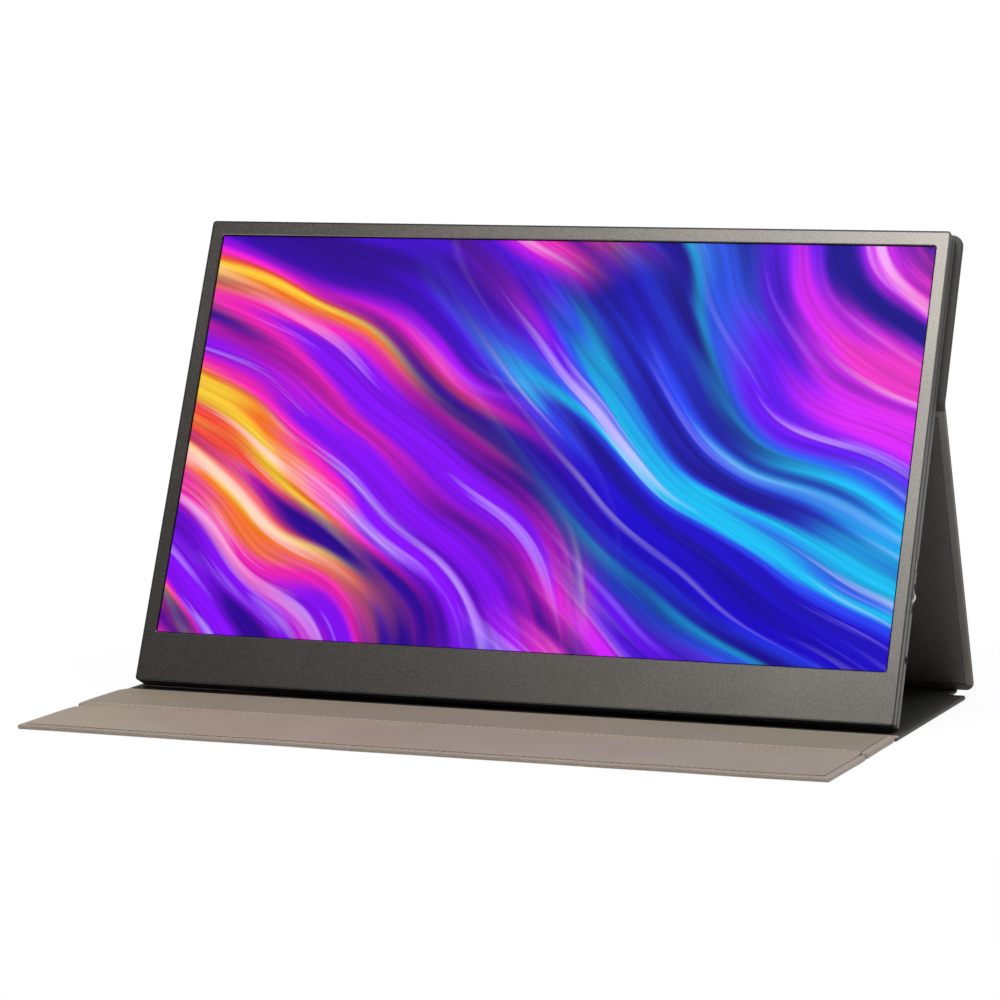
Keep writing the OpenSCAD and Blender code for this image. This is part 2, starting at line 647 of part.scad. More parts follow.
// Audio socket, right side
module audio_jack() {
    color("#1a1a1c") on_stand() difference() {
        union() {
            translate([inner_x - jack_l, shell_front + 0.1, jack_v - jack_body_w / 2])
                cube([jack_l - running, shell_floor + jack_pocket - shell_front - 0.2, jack_body_w]);
            translate([inner_x - 1, port_depth, jack_v]) rotate([0, 90, 0])
                cylinder(r = jack_bore_r + jack_wall, h = wall_t + 1 - running);
        }
        translate([half_w - jack_l, port_depth, jack_v]) rotate([0, 90, 0]) cylinder(r = jack_bore_r, h = jack_l + cut);
    }
}

// Key board and the side controls
module key_board() {
    color("#1d5a38") on_stand() layer(key_front, key_front + board_t) translate([key_x - key_w / 2, key_low]) square([key_w, key_high - key_low]);
}
key_cable_x = main_x + main_w / 2 - key_ribbon_w;
module key_cable() {
    color("#c98a3a") on_stand() {
        layer(key_front - cable_t, key_front) box_at(key_x - 2, key_low + key_plug[1] / 2 + 1, key_plug[0], key_plug[1]);
        layer(key_front, key_front + cable_t) translate([key_cable_x, key_low + 1])
            square([key_x - key_w / 2 - slip - key_cable_x, key_ribbon_w]);
        layer(main_front + board_t, key_front + cable_t) translate([key_cable_x, key_low + 1])
            square([cable_t, key_ribbon_w]);
    }
}
module side_switches() {
    color("#c8c8ca") on_stand() for (v = [power_v, menu_v]) translate([0, 0, v]) {
        across(switch_x - 4, switch_x - 0.6) translate([key_front - 2.4, -1.8]) square([2.4, 3.6]);
        across(switch_x - 0.6, switch_x) translate([port_depth, 0]) pill(1.2, 1.6);
    }
}
// A button: a pill that stands in the shell's hole, on a flange behind the wall
module side_button(v, l) {
    translate([0, 0, v]) {
        across(inner_x - 0.3, half_w - button_sink) translate([port_depth, 0]) pill(button_w, l);
        across(inner_x - 0.3 - flange_t, inner_x - 0.3) translate([port_depth, 0])
            rounded(min(button_w + 2 * flange_edge, 3.3), l + 2 * flange_edge, 0.6);
    }
}
module power_button() { color("#c9c9c7") on_stand() side_button(power_v, power_l); }
module menu_button() { color("#3a3a3c") on_stand() side_button(menu_v, menu_l); }
module jog_dial() {
    color("#cfcfcd") on_stand() translate([dial_x, port_depth - dial_t / 2, dial_v]) rotate([-90, 0, 0]) difference() {
        cylinder(r = dial_r, h = dial_t);
        translate([0, 0, -cut]) cylinder(r = dial_pin_r + running, h = dial_t + 2 * cut);
        for (k = [-4:4]) rotate(k * 14) translate([dial_r + 0.12, 0, -cut]) cylinder(r = 0.25, h = dial_t + 2 * cut);
    }
}
// A fork with the dial's pin, on a foot that lies on the key board
module dial_bracket() {
    color("#8e8f92") on_stand() translate([0, 0, dial_v]) {
        translate([0, 0, -ear_w / 2]) {
            for (d = [ear_front, ear_back - ear_t]) translate([web_x, d, 0]) cube([inner_x - slip - web_x, ear_t, ear_w]);
            translate([web_x, ear_front, 0]) cube([ear_t, ear_back - ear_front, ear_w]);
            translate([web_x - 2, key_front - ear_t, 0]) cube([2 + ear_t, ear_t, ear_w]);
        }
        translate([dial_x, ear_front, 0]) rotate([-90, 0, 0]) cylinder(r = dial_pin_r, h = ear_back - ear_front);
    }
}
module status_light() {
    color("#e6f2ff") on_stand() translate([0, 0, led_v]) {
        across(inner_x - 1.6, half_w - 0.2) translate([port_depth, 0]) pill(0.6, 1.1);
        across(inner_x - 1.6, inner_x - 0.6) translate([port_depth - 0.5, -0.9]) square([key_front - port_depth + 0.5, 1.8]);
    }
}

// Loose pieces in the shell
speaker = [34, 12, 3.6];         // length, height and depth
speaker_mouth = [24, 9, 0.6];
speaker_inset = 38.6;            // from the monitor's side to the speaker's middle
speaker_v = 14.5;
plate = [130, 26, 0.5];          // steel that the cover's magnets hold
module speakers() {
    color("#2a2a2d") on_stand() for (s = [-1, 1]) translate([s * (half_w - speaker_inset), 0, speaker_v]) difference() {
        layer(shell_floor - speaker[2], shell_floor) rounded(speaker[0], speaker[1], 2);
        layer(shell_floor - speaker[2] - cut, shell_floor - speaker[2] + speaker_mouth[2])
            rounded(speaker_mouth[0], speaker_mouth[1], speaker_mouth[1] / 2 - slip);
    }
}
module magnet_plates() {
    color("#9fa2a6") on_stand() for (s = [-1, 1]) layer(shell_floor - plate[2], shell_floor)
        translate([s * monitor_w / 4, fold_v + mid_space + back_magnet_y]) rounded(plate[0], plate[1], 3);
}
module housing_screws() {
    color("#b8b8bc") on_stand() for (spot = screw_spots) translate([spot[0], carrier_t, spot[1]]) rotate([-90, 0, 0]) {
        cylinder(r = screw_head_r, h = screw_head_t);
        cylinder(r = screw_r, h = screw_l);
    }
}

back_panel_skin();
back_panel_board();
back_panel_lining();
back_magnets();
leg_skin();
leg_board();
leg_lining();
floor_skin();
floor_board();
floor_lining();
spine_skin();
spine_board();
inner_flap_skin();
inner_flap_board();
inner_flap_lining();
outer_flap_skin();
outer_flap_board();
outer_flap_lining();
flap_magnets();
mid_fold_strip();
rear_fold_strip();
front_fold_strip();
flap_fold_strip();
spine_fold_strip();
front_bezel();
bezel_carrier();
middle_frame();
seam_gasket();
rear_shell();
front_polariser();
lcd_cell();
prism_films();
diffuser_film();
light_guide();
reflector_film();
backlight_tray();
panel_frame();
led_strip();
source_board();
panel_cable();
main_board();
board_chips();
type_c_sockets();
video_socket();
audio_jack();
key_board();
key_cable();
side_switches();
power_button();
menu_button();
jog_dial();
dial_bracket();
status_light();
speakers();
magnet_plates();
housing_screws();
board_screws();
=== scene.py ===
# %% [markdown]
# # A portable monitor in its folding cover
# The imported model brings every rigid piece at its real size. This lesson dresses it: it lights a small
# studio, writes one material for each real finish, and models the soft cover, which wraps board in
# leather-like skin. The first step loads the model and keeps its outer box.

import json
import math

import bmesh
import bpy
from mathutils import Matrix, Vector, noise


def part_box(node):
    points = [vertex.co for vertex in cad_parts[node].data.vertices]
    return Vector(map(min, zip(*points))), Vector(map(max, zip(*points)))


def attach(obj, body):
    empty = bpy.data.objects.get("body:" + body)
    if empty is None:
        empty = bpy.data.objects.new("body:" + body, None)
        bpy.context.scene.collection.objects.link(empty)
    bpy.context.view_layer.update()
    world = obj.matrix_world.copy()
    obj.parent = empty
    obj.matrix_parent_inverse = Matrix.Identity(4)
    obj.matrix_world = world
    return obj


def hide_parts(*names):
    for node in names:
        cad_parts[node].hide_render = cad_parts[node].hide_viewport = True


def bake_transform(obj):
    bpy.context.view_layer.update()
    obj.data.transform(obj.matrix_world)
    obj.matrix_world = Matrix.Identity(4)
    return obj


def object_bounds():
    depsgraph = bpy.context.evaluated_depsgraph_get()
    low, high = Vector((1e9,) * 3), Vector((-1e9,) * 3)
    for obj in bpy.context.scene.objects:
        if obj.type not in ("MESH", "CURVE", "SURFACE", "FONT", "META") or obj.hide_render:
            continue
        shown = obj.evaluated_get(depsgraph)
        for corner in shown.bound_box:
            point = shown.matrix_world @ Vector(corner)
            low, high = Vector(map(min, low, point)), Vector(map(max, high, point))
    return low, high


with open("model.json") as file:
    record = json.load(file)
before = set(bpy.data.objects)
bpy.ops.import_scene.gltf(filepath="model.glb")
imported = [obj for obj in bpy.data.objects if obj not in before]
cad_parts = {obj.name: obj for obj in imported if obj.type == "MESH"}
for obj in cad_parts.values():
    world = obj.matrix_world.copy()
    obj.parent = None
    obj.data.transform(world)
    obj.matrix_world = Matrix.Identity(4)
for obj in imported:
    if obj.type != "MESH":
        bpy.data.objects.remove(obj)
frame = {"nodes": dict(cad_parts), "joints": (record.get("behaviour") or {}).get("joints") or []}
cad_low, cad_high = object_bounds()
nodes = frame["nodes"]
joints = {joint["name"]: joint for joint in frame["joints"]}
mm = 0.001
print("nodes:", len(nodes), "size in mm:", [round(side / mm, 1) for side in cad_high - cad_low])

# %% [markdown]
# ## Where the stand is
# The cover folds about axes that the model names, so its panels can be placed without measuring pictures.
# The monitor slides off the back panel along its own front normal, which gives the lean of the screen.

# %% Read the folds and the lean
rear_axis = Vector(joints["rear_fold"]["pos_m"])
mid_axis = Vector(joints["mid_fold"]["pos_m"])
front_axis = Vector(joints["front_fold"]["pos_m"])
flap_axis = Vector(joints["flap_fold"]["pos_m"])
screen_normal = Vector(joints["monitor_release"]["axis"])
screen_up = Vector((0, screen_normal.z, -screen_normal.y))
leg_up = (mid_axis - rear_axis).normalized()
print("lean in degrees:", round(math.degrees(math.asin(screen_normal.z)), 1))

# %% [markdown]
# ## The camera
# A long lens from about one and three quarter metres, a little above the table and to the right. Its
# place was worked out from the corners of the screen, which is a rectangle of known size. The lens is
# given in millimetres for a sensor of the given width, and the two turns in degrees.

# %% Aim the camera
camera_place = Vector((598.4, -1584.9, 278.1)) * mm
camera_turn_left, camera_dip = 20.82, 6.19
sensor_width, lens_length = 36, 139.14
nearest_drawn = 0.05
camera_data = bpy.data.cameras.new("camera")
camera_data.sensor_width = sensor_width
camera_data.lens = lens_length
camera_data.clip_start = nearest_drawn
camera = bpy.data.objects.new("camera", camera_data)
camera.location = camera_place
camera.rotation_euler = (math.radians(90 - camera_dip), 0, math.radians(camera_turn_left))
bpy.context.scene.collection.objects.link(camera)
bpy.context.scene.camera = camera
print("camera to middle fold, mm:", round((camera_place - mid_axis).length / mm))

# %% [markdown]
# ## A node helper and colours
# Materials here are small node trees. One helper adds a node, sets its properties or input values, and
# links its inputs. Colours are written as people write them on screens and turned to linear light once.

# %% Node helper
def linear(code):
    """A colour written as sRGB hex, as linear red, green, blue and alpha."""
    parts = [int(code[i:i + 2], 16) / 255 for i in (1, 3, 5)]
    return tuple(p / 12.92 if p <= 0.04045 else ((p + 0.055) / 1.055) ** 2.4 for p in parts) + (1.0,)


def add(tree, kind, settings=None, links=None):
    """A new node of that kind, with its values set and its inputs linked to other nodes' outputs."""
    node = tree.nodes.new("ShaderNode" + kind)
    for name, value in (settings or {}).items():
        if isinstance(name, str) and hasattr(node, name):
            setattr(node, name, value)
        else:
            node.inputs[name].default_value = value
    for name, (source, output) in (links or {}).items():
        tree.links.new(source.outputs[output], node.inputs[name])
    return node


def ramp(tree, stops, source, interpolation="LINEAR"):
    """A colour ramp over a value: stops is a list of (position, colour)."""
    node = add(tree, "ValToRGB", links={"Fac": source})
    node.color_ramp.interpolation = interpolation
    elements = node.color_ramp.elements
    while len(elements) < len(stops):
        elements.new(0.5)
    for element, (position, colour) in zip(elements, stops):
        element.position = position
        element.color = linear(colour) if isinstance(colour, str) else (colour,) * 3 + (1,)
    return node


def begin(name):
    """A new material with an empty tree, and the tree."""
    material = bpy.data.materials.new(name)
    material.use_nodes = True
    material.node_tree.nodes.clear()
    return material, material.node_tree


def end(tree, surface, output="BSDF"):
    """Joins a shader to the material's output."""
    add(tree, "OutputMaterial", links={"Surface": (surface, output)})


print("white is", linear("#ffffff"))

# %% [markdown]
# ## The studio
# The floor and the room behind are plain white, and only they are brightened for the camera, so that
# the object itself is lit at a level where its colours come out as written. Near the object the floor
# keeps a tenth of its own shading, which shows the shadow. The room in front is dim on the left and
# grey on the right, because satin metal shows what stands before it. Two soft boxes hang above.

# %% Floor
floor_side, floor_drop = 12.0, 0.05 * mm
shading_near, shading_gone = 0.1, 0.5
glow_near, glow_far = 0.9, 1.0
floor_mesh = bmesh.new()
bmesh.ops.create_grid(floor_mesh, x_segments=1, y_segments=1, size=floor_side / 2)
floor_data = bpy.data.meshes.new("studio_floor")
floor_mesh.to_mesh(floor_data)
floor_mesh.free()
studio_floor = bpy.data.objects.new("studio_floor", floor_data)
studio_floor.location.z = cad_low.z - floor_drop
bpy.context.scene.collection.objects.link(studio_floor)

paper, tree = begin("paper_floor")
sight = add(tree, "LightPath")
seen = add(tree, "Math", {"operation": "MAXIMUM"}, {0: (sight, "Is Camera Ray"), 1: (sight, "Is Glossy Ray")})
seen = add(tree, "Math", {"operation": "MAXIMUM"}, {0: (seen, "Value"), 1: (sight, "Is Transmission Ray")})
place = add(tree, "TexCoord")
far = add(tree, "VectorMath", {"operation": "LENGTH"}, {0: (place, "Object")})
share = add(tree, "MapRange", {"interpolation_type": "SMOOTHSTEP", "From Min": shading_near,
                               "From Max": shading_gone, "To Min": glow_near, "To Max": glow_far},
            {"Value": (far, "Value")})
share = add(tree, "Math", {"operation": "MULTIPLY"}, {0: (seen, "Value"), 1: (share, "Result")})
lit = add(tree, "BsdfDiffuse", {"Color": linear("#f4f4f4")})
white = add(tree, "Emission", {"Color": linear("#ffffff"), "Strength": 1.0})
both = add(tree, "MixShader", links={"Fac": (share, "Value"), 1: (lit, "BSDF"), 2: (white, "Emission")})
end(tree, both, "Shader")
floor_data.materials.append(paper)
print("floor at z =", round(studio_floor.location.z / mm, 2), "mm")

# %% Room light
dark_left, grey_right = -0.6, 0.1
grey_front, white_back = -0.2, 0.25
room_strength = 0.7
room = bpy.data.worlds.new("room")
room.use_nodes = True
bpy.context.scene.world = room
tree = room.node_tree
tree.nodes.clear()
sight = add(tree, "LightPath")
way = add(tree, "TexCoord")
parts = add(tree, "SeparateXYZ", links={"Vector": (way, "Generated")})
side = add(tree, "MapRange", {"From Min": dark_left, "From Max": grey_right}, {"Value": (parts, "X")})
front_colour = ramp(tree, [(0.0, "#1c1b1b"), (1.0, "#73716f")], (side, "Result"))
behind = add(tree, "MapRange", {"From Min": grey_front, "From Max": white_back}, {"Value": (parts, "Y")})
room_colour = add(tree, "Mix", {"data_type": "RGBA", 7: linear("#ffffff")},
                  {0: (behind, "Result"), 6: (front_colour, "Color")})
dim = add(tree, "Background", {"Strength": room_strength}, {"Color": (room_colour, 2)})
bright = add(tree, "Background", {"Color": linear("#ffffff"), "Strength": 1.0})
chosen = add(tree, "MixShader", links={"Fac": (sight, "Is Camera Ray"), 1: (dim, "Background"),
                                       2: (bright, "Background")})
add(tree, "OutputWorld", links={"Surface": (chosen, "Shader")})
print("room nodes:", len(tree.nodes))


# %% Soft boxes
def soft_box(name, place, target, width, height, watts):
    """A rectangular lamp at a place, facing a target."""
    lamp = bpy.data.lights.new(name, "AREA")
    lamp.shape = "RECTANGLE"
    lamp.size, lamp.size_y = width, height
    lamp.energy = watts
    thing = bpy.data.objects.new(name, lamp)
    thing.location = place
    thing.rotation_euler = (target - place).to_track_quat("-Z", "Y").to_euler()
    bpy.context.scene.collection.objects.link(thing)


# Each box: its place from the object's middle in metres, its width, its height, and its watts.
boxes = {
    "overhead_box": (Vector((0.2, -0.25, 1.7)), 1.1, 0.7, 20),
    "front_box": (Vector((-0.05, -1.25, 1.6)), 0.9, 0.7, 14),
}
middle = (cad_low + cad_high) / 2
for name, (offset, width, height, watts) in boxes.items():
    soft_box(name, middle + offset, middle, width, height, watts)

# %% [markdown]
# ## Cover leather
# The cover is polyurethane leather: a thin plastic film, pressed with a grain, on a woven backing. The
# eye gets a soft grey shine broken by small cells. Voronoi cells make the pressed grain, and slow noise
# makes the colour uneven, as it is on a piece that is bent and glued. The pattern reads a UV map in
# metres, which follows each panel, so it doesn't slide when the stand folds. The outer skin's cells are
# drawn 1.3 mm wide, coarser than such a grain usually is, so that they show.

# %% Leather
# Clouds of colour at 22 to the metre are about 45 mm across.
clouds_per_metre, film_ior, gloss_swing = 22, 1.46, 0.08


def pressed_leather(name, colour, light, grain, depth, rough, far_shade=None):
    """Leather film: colour and its lighter shade, the grain's cell size and depth in mm, roughness.
    far_shade is (start, end, colour): beyond that stretch of the UV map's Y the film is tinted so, as painted
    shade."""
    material, tree = begin(name)
    flat = add(tree, "TexCoord")
    cells = add(tree, "TexVoronoi", {"feature": "DISTANCE_TO_EDGE", "Scale": 1 / (grain * mm)},
                {"Vector": (flat, "UV")})
    clouds = add(tree, "TexNoise", {"Scale": clouds_per_metre, "Detail": 3}, {"Vector": (flat, "UV")})
    patches = add(tree, "TexNoise", {"Scale": 0.5 / (grain * mm), "Detail": 2}, {"Vector": (flat, "UV")})
    tone = add(tree, "MapRange", {"From Min": 0.3, "From Max": 0.7}, {"Value": (clouds, "Fac")})
    shade = ramp(tree, [(0.0, colour), (1.0, light)], (tone, "Result"))
    # The cells' edges are darkened: painted shade in the grain's valleys, beside the bump.
    valley_shade = ramp(tree, [(0.0, 0.72), (0.25, 1.0)], (cells, "Distance"))
    skin = add(tree, "Mix", {"data_type": "RGBA", "blend_type": "MULTIPLY", 0: 0.8},
               {6: (shade, "Color"), 7: (valley_shade, "Color")})
    if far_shade is not None:
        where = add(tree, "SeparateXYZ", links={"Vector": (flat, "UV")})
        reach = add(tree, "MapRange", {"From Min": far_shade[0], "From Max": far_shade[1],
                                       "interpolation_type": "SMOOTHSTEP"}, {"Value": (where, "Y")})
        tint = ramp(tree, [(0.0, "#ffffff"), (1.0, far_shade[2])], (reach, "Result"))
        skin = add(tree, "Mix", {"data_type": "RGBA", "blend_type": "MULTIPLY", 0: 1.0},
                   {6: (skin, 2), 7: (tint, "Color")})
    gloss = add(tree, "MapRange", {"To Min": rough - gloss_swing, "To Max": rough + gloss_swing},
                {"Value": (patches, "Fac")})
    height = ramp(tree, [(0.0, 0.0), (0.35, 1.0)], (cells, "Distance"))
    relief = add(tree, "Bump", {"Strength": 1.0, "Distance": depth * mm}, {"Height": (height, "Color")})
    finish = add(tree, "BsdfPrincipled", {"IOR": film_ior},
                 {"Base Color": (skin, 2), "Roughness": (gloss, "Result"), "Normal": (relief, "Normal")})
    end(tree, finish)
    return material


cover_skin = pressed_leather("grey_pu_leather", "#3a3836", "#42403d", 1.3, 0.12, 0.6)
# The hems are one leather drawn three ways: lighter on the leg, painted light; darker on the floor, painted
# shade; the back panel's lies between.
lit_leg_hem_skin = pressed_leather("grey_pu_leather_leg_hem_painted_light", "#7f7a75", "#8a8580", 0.75, 0.03, 0.52)
back_hem_skin = pressed_leather("grey_pu_leather_back_hem", "#45423f", "#4f4b48", 0.75, 0.03, 0.58)
shaded_floor_hem_skin = pressed_leather("grey_pu_leather_floor_hem_painted_shade", "#2c2a28", "#363331", 0.75, 0.03, 0.66)
flap_skin = pressed_leather("taupe_pu_leather", "#9a8d80", "#a49688", 0.7, 0.03, 0.55)
# The sheet's side walls are drawn darker than its top: painted shade along its edge.
flap_edge_shade = pressed_leather("taupe_film_edge_painted_shade", "#6a6057", "#756a60", 0.4, 0.01, 0.8)
print("leathers:", cover_skin.name, lit_leg_hem_skin.name, shaded_floor_hem_skin.name, flap_skin.name)

# %% [markdown]
# ## Linings
# Inside, the grey part has a cross-grain film: two sets of fine diagonal ridges that meet as small
# diamonds, near a millimetre apart. Two wave textures, nearly at right angles, make them. The flaps'
# lining is almost plain, with a fine silk grain.

# %% Cross-grain lining
# At a scale of 1 the wave texture repeats every 0.314 m.
wave_length = 0.314
ridge_turns = (35, -50)
lining_clouds_per_metre = 18


def cross_grain(name, colour, light, pitch, depth, rough):
    """Film with two crossing sets of diagonal ridges, a pitch in mm apart."""
    material, tree = begin(name)
    flat = add(tree, "TexCoord")
    wave = {"Scale": wave_length / (pitch * mm), "Distortion": 1.6, "Detail": 2, "Detail Scale": 1.5}
    ridges = []
    for turn in ridge_turns:
        turned = add(tree, "Mapping", {"Rotation": (0, 0, math.radians(turn))}, {"Vector": (flat, "UV")})
        ridges.append(add(tree, "TexWave", wave, {"Vector": (turned, "Vector")}))
    height = add(tree, "Math", {"operation": "MULTIPLY"}, {0: (ridges[0], "Fac"), 1: (ridges[1], "Fac")})
    clouds = add(tree, "TexNoise", {"Scale": lining_clouds_per_metre, "Detail": 3}, {"Vector": (flat, "UV")})
    shade = ramp(tree, [(0.3, colour), (0.7, light)], (clouds, "Fac"))
    # The low ground between the ridges is darkened: painted shade in the hollows, beside the bump.
    valley_shade = ramp(tree, [(0.0, 0.3), (0.55, 1.0)], (height, "Value"))
    film = add(tree, "Mix", {"data_type": "RGBA", "blend_type": "MULTIPLY", 0: 0.9},
               {6: (shade, "Color"), 7: (valley_shade, "Color")})
    gloss = add(tree, "MapRange", {"To Min": rough + 0.1, "To Max": rough - 0.06},
                {"Value": (height, "Value")})
    relief = add(tree, "Bump", {"Strength": 1.0, "Distance": depth * mm}, {"Height": (height, "Value")})
    finish = add(tree, "BsdfPrincipled", {"IOR": film_ior},
                 {"Base Color": (film, 2), "Roughness": (gloss, "Result"), "Normal": (relief, "Normal")})
    end(tree, finish)
    return material


grey_lining = cross_grain("cross_grain_lining", "#6a6561", "#787370", 1.15, 0.1, 0.5)
floor_film = cross_grain("cross_grain_floor_lining", "#242322", "#2d2b2a", 1.15, 0.07, 0.6)
# From just before the flaps' fold to just behind it, the one film is drawn darker: painted shade over the
# inner flap's part.
shade_start, shade_end = flap_axis.y - 2 * mm, flap_axis.y + 7 * mm
fold_painted_shade = (shade_start, shade_end, "#e6e8e2")
flap_film = pressed_leather("silk_grain_lining", "#988b77", "#9f9280", 0.55, 0.015, 0.6,
                            far_shade=fold_painted_shade)
print("linings:", grey_lining.name, floor_film.name, flap_film.name)

# %% [markdown]
# ## Sewing thread
# Polyester thread, twisted from two strands: pale, with a soft sheen, and a fine slanting stripe of painted
# light and shade along the twist.

# %% Thread
twist_turn, twist_pitch = 40, 0.4 * mm
thread, tree = begin("polyester_thread")
place = add(tree, "TexCoord")
slant = add(tree, "Mapping", {"Rotation": (0, 0, math.radians(twist_turn))}, {"Vector": (place, "Object")})
twist = add(tree, "TexWave", {"Scale": wave_length / twist_pitch}, {"Vector": (slant, "Vector")})
# Light and dark stripes along the twist: painted light and shade on the strands.
ply_shade = ramp(tree, [(0.0, "#a89c8e"), (1.0, "#cfc4b6")], (twist, "Fac"))
yarn = add(tree, "BsdfPrincipled", {"Roughness": 0.6, "Sheen Weight": 0.2}, {"Base Color": (ply_shade, "Color")})
end(tree, yarn)
print("thread:", thread.name)

# %% [markdown]
# ## Hard finishes
# The monitor's front is aluminium-loaded paint on a thin plate: a satin grey with tiny bright flecks that
# shows the room and the lamps as broad smears of light. The same routine, with other numbers, serves the
# other rigid finishes: base colour, how metallic, roughness, the size of its fleck or grain, and its
# depth. Real flecks and moulded grain are mostly finer than a picture dot, so they are drawn several
# times coarser, as coarse as they need to be to show.

# %% Rigid finish
# Clouds of colour at 12 to the metre are about 80 mm across, and add this share to the speckle.
finish_clouds_per_metre, cloud_share, finish_swing = 12, 0.3, 0.05


def rigid(name, colour, light, metal, rough, grain, depth, stretch=(1, 1, 1), ior=1.5, specular=0.5):
    """A satin rigid surface with a fine speckle. Grain and depth are in mm; a metal keeps IOR 1.5."""
    material, tree = begin(name)
    place = add(tree, "TexCoord")
    drawn = add(tree, "Mapping", {"Scale": stretch}, {"Vector": (place, "Object")})
    speck = add(tree, "TexNoise", {"Scale": 1 / (grain * mm), "Detail": 2, "Roughness": 0.6},
                {"Vector": (drawn, "Vector")})
    clouds = add(tree, "TexNoise", {"Scale": finish_clouds_per_metre, "Detail": 2},
                 {"Vector": (place, "Object")})
    blend = add(tree, "Math", {"operation": "MULTIPLY_ADD", 1: cloud_share},
                {0: (clouds, "Fac"), 2: (speck, "Fac")})
    shade = ramp(tree, [(0.45, colour), (0.85, light)], (blend, "Value"))
    gloss = add(tree, "MapRange", {"From Min": 0.3, "From Max": 0.7, "To Min": rough - finish_swing,
                                   "To Max": rough + finish_swing}, {"Value": (speck, "Fac")})
    relief = add(tree, "Bump", {"Strength": 1.0, "Distance": depth * mm}, {"Height": (speck, "Fac")})
    finish = add(tree, "BsdfPrincipled", {"Metallic": metal, "IOR": ior, "Specular IOR Level": specular},
                 {"Base Color": (shade, "Color"), "Roughness": (gloss, "Result"),
                  "Normal": (relief, "Normal")})
    end(tree, finish)
    return material


# Each row: colour, lighter shade, metallic, roughness, grain and depth in mm, and what else differs.
finish_table = {
    # Paint full of aluminium flakes: satin grey, with flecks that catch the light.
    "satin_aluminium_paint": ("#6a6762", "#8d8984", 1.0, 0.34, 0.5, 0.006, {}),
    # Moulded plastic: black, with a dull gloss.
    "black_moulded_abs": ("#262524", "#302e2d", 0.0, 0.4, 0.4, 0.004, {}),
    # Blasted and anodised aluminium: an even, silky grey that hardly shines as metal.
    "grey_anodised_aluminium": ("#4e4b48", "#585552", 0.2, 0.5, 0.3, 0.002, {"specular": 0.3}),
    # The same, a little lighter, on the rear shell.
    "silver_anodised_aluminium": ("#595653", "#64615e", 0.2, 0.5, 0.3, 0.002, {"specular": 0.3}),
    # Rubber: nearly black, without shine.
    "black_rubber": ("#1b1a1a", "#252423", 0.0, 0.65, 0.3, 0.006, {}),
    # Board of pressed waste paper: dull, with coarse fibres.
    "greyboard": ("#8d8577", "#a39a8b", 0.0, 0.9, 0.8, 0.03, {}),
    # Nickel plating: a bright, slightly warm metal with a haze.
    "nickel_plated_magnet": ("#b5b3ae", "#c6c4c0", 1.0, 0.22, 0.3, 0.001, {}),
    # The display cell's glass: almost black and smooth.
    "lcd_glass": ("#17171b", "#1f1f24", 0.0, 0.12, 1.0, 0.0002, {}),
    # Optical film: pale, with a grain drawn out one way.
    "optical_film": ("#dfe2e4", "#ecefef", 0.0, 0.25, 0.2, 0.002, {"stretch": (1, 12, 1)}),
    # Acrylic sheet, drawn as a pale and glossy solid.
    "acrylic_light_guide": ("#d3dde0", "#e4ecee", 0.0, 0.1, 1.2, 0.001, {"ior": 1.49}),
    # Rolled steel with a tin coat: grey metal with a drawn grain.
    "tinned_steel": ("#7d8084", "#93969a", 1.0, 0.35, 0.5, 0.003, {"stretch": (1, 8, 1)}),
    # White moulded plastic: bright and dull.
    "white_polycarbonate": ("#dcdcd8", "#e8e8e4", 0.0, 0.45, 0.4, 0.003, {"ior": 1.58}),
    # Phosphor over small lamps: pale yellow.
    "phosphor_lamps": ("#e3d48e", "#f2e6ae", 0.0, 0.4, 0.8, 0.003, {}),
    # Lacquer on a circuit board: green and glossy, a little uneven.
    "green_solder_mask": ("#14492c", "#1d6039", 0.0, 0.28, 1.5, 0.006, {}),
    # Moulded epoxy: black and dull.
    "epoxy_chip": ("#1c1d1f", "#2a2b2d", 0.0, 0.55, 0.2, 0.004, {}),
    # Polyimide film: amber, with a grain drawn out one way.
    "polyimide_ribbon": ("#a8671f", "#c9873a", 0.0, 0.3, 0.9, 0.003, {"stretch": (8, 1, 1)}),
    # Plated steel of socket shells: bright metal.
    "plated_socket": ("#b9b9b9", "#cacac8", 1.0, 0.24, 0.4, 0.001, {}),
    # Moulded nylon: black, with some gloss.
    "black_nylon": ("#111112", "#1a1a1b", 0.0, 0.38, 0.3, 0.003, {}),
    # Silver paint on moulded keys: light satin grey.
    "silver_key": ("#b8b5af", "#c8c5bf", 0.85, 0.28, 0.25, 0.002, {}),
    # Dark metallic paint on a moulded key.
    "dark_key": ("#333231", "#403e3d", 0.6, 0.34, 0.25, 0.002, {}),
    # Frosted plastic over a lamp: pale, slightly blue.
    "frosted_light_pipe": ("#d7e2ea", "#e8f0f5", 0.0, 0.3, 0.4, 0.002, {"ior": 1.49}),
    # Coated paper of a speaker cone: dark and dull.
    "speaker_cone": ("#262628", "#343436", 0.0, 0.6, 0.5, 0.006, {}),
    # Zinc plating: bright grey metal.
    "zinc_plated_screw": ("#a9a9ab", "#bfbfc0", 1.0, 0.3, 0.3, 0.002, {}),
}
finishes = {name: rigid(name, *row[:-1], **row[-1]) for name, row in finish_table.items()}
print("finishes:", len(finishes))

# %% [markdown]
# ## Dress the rigid nodes
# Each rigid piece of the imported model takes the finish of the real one. Nodes left out here are soft, and
# get pieces of their own below.

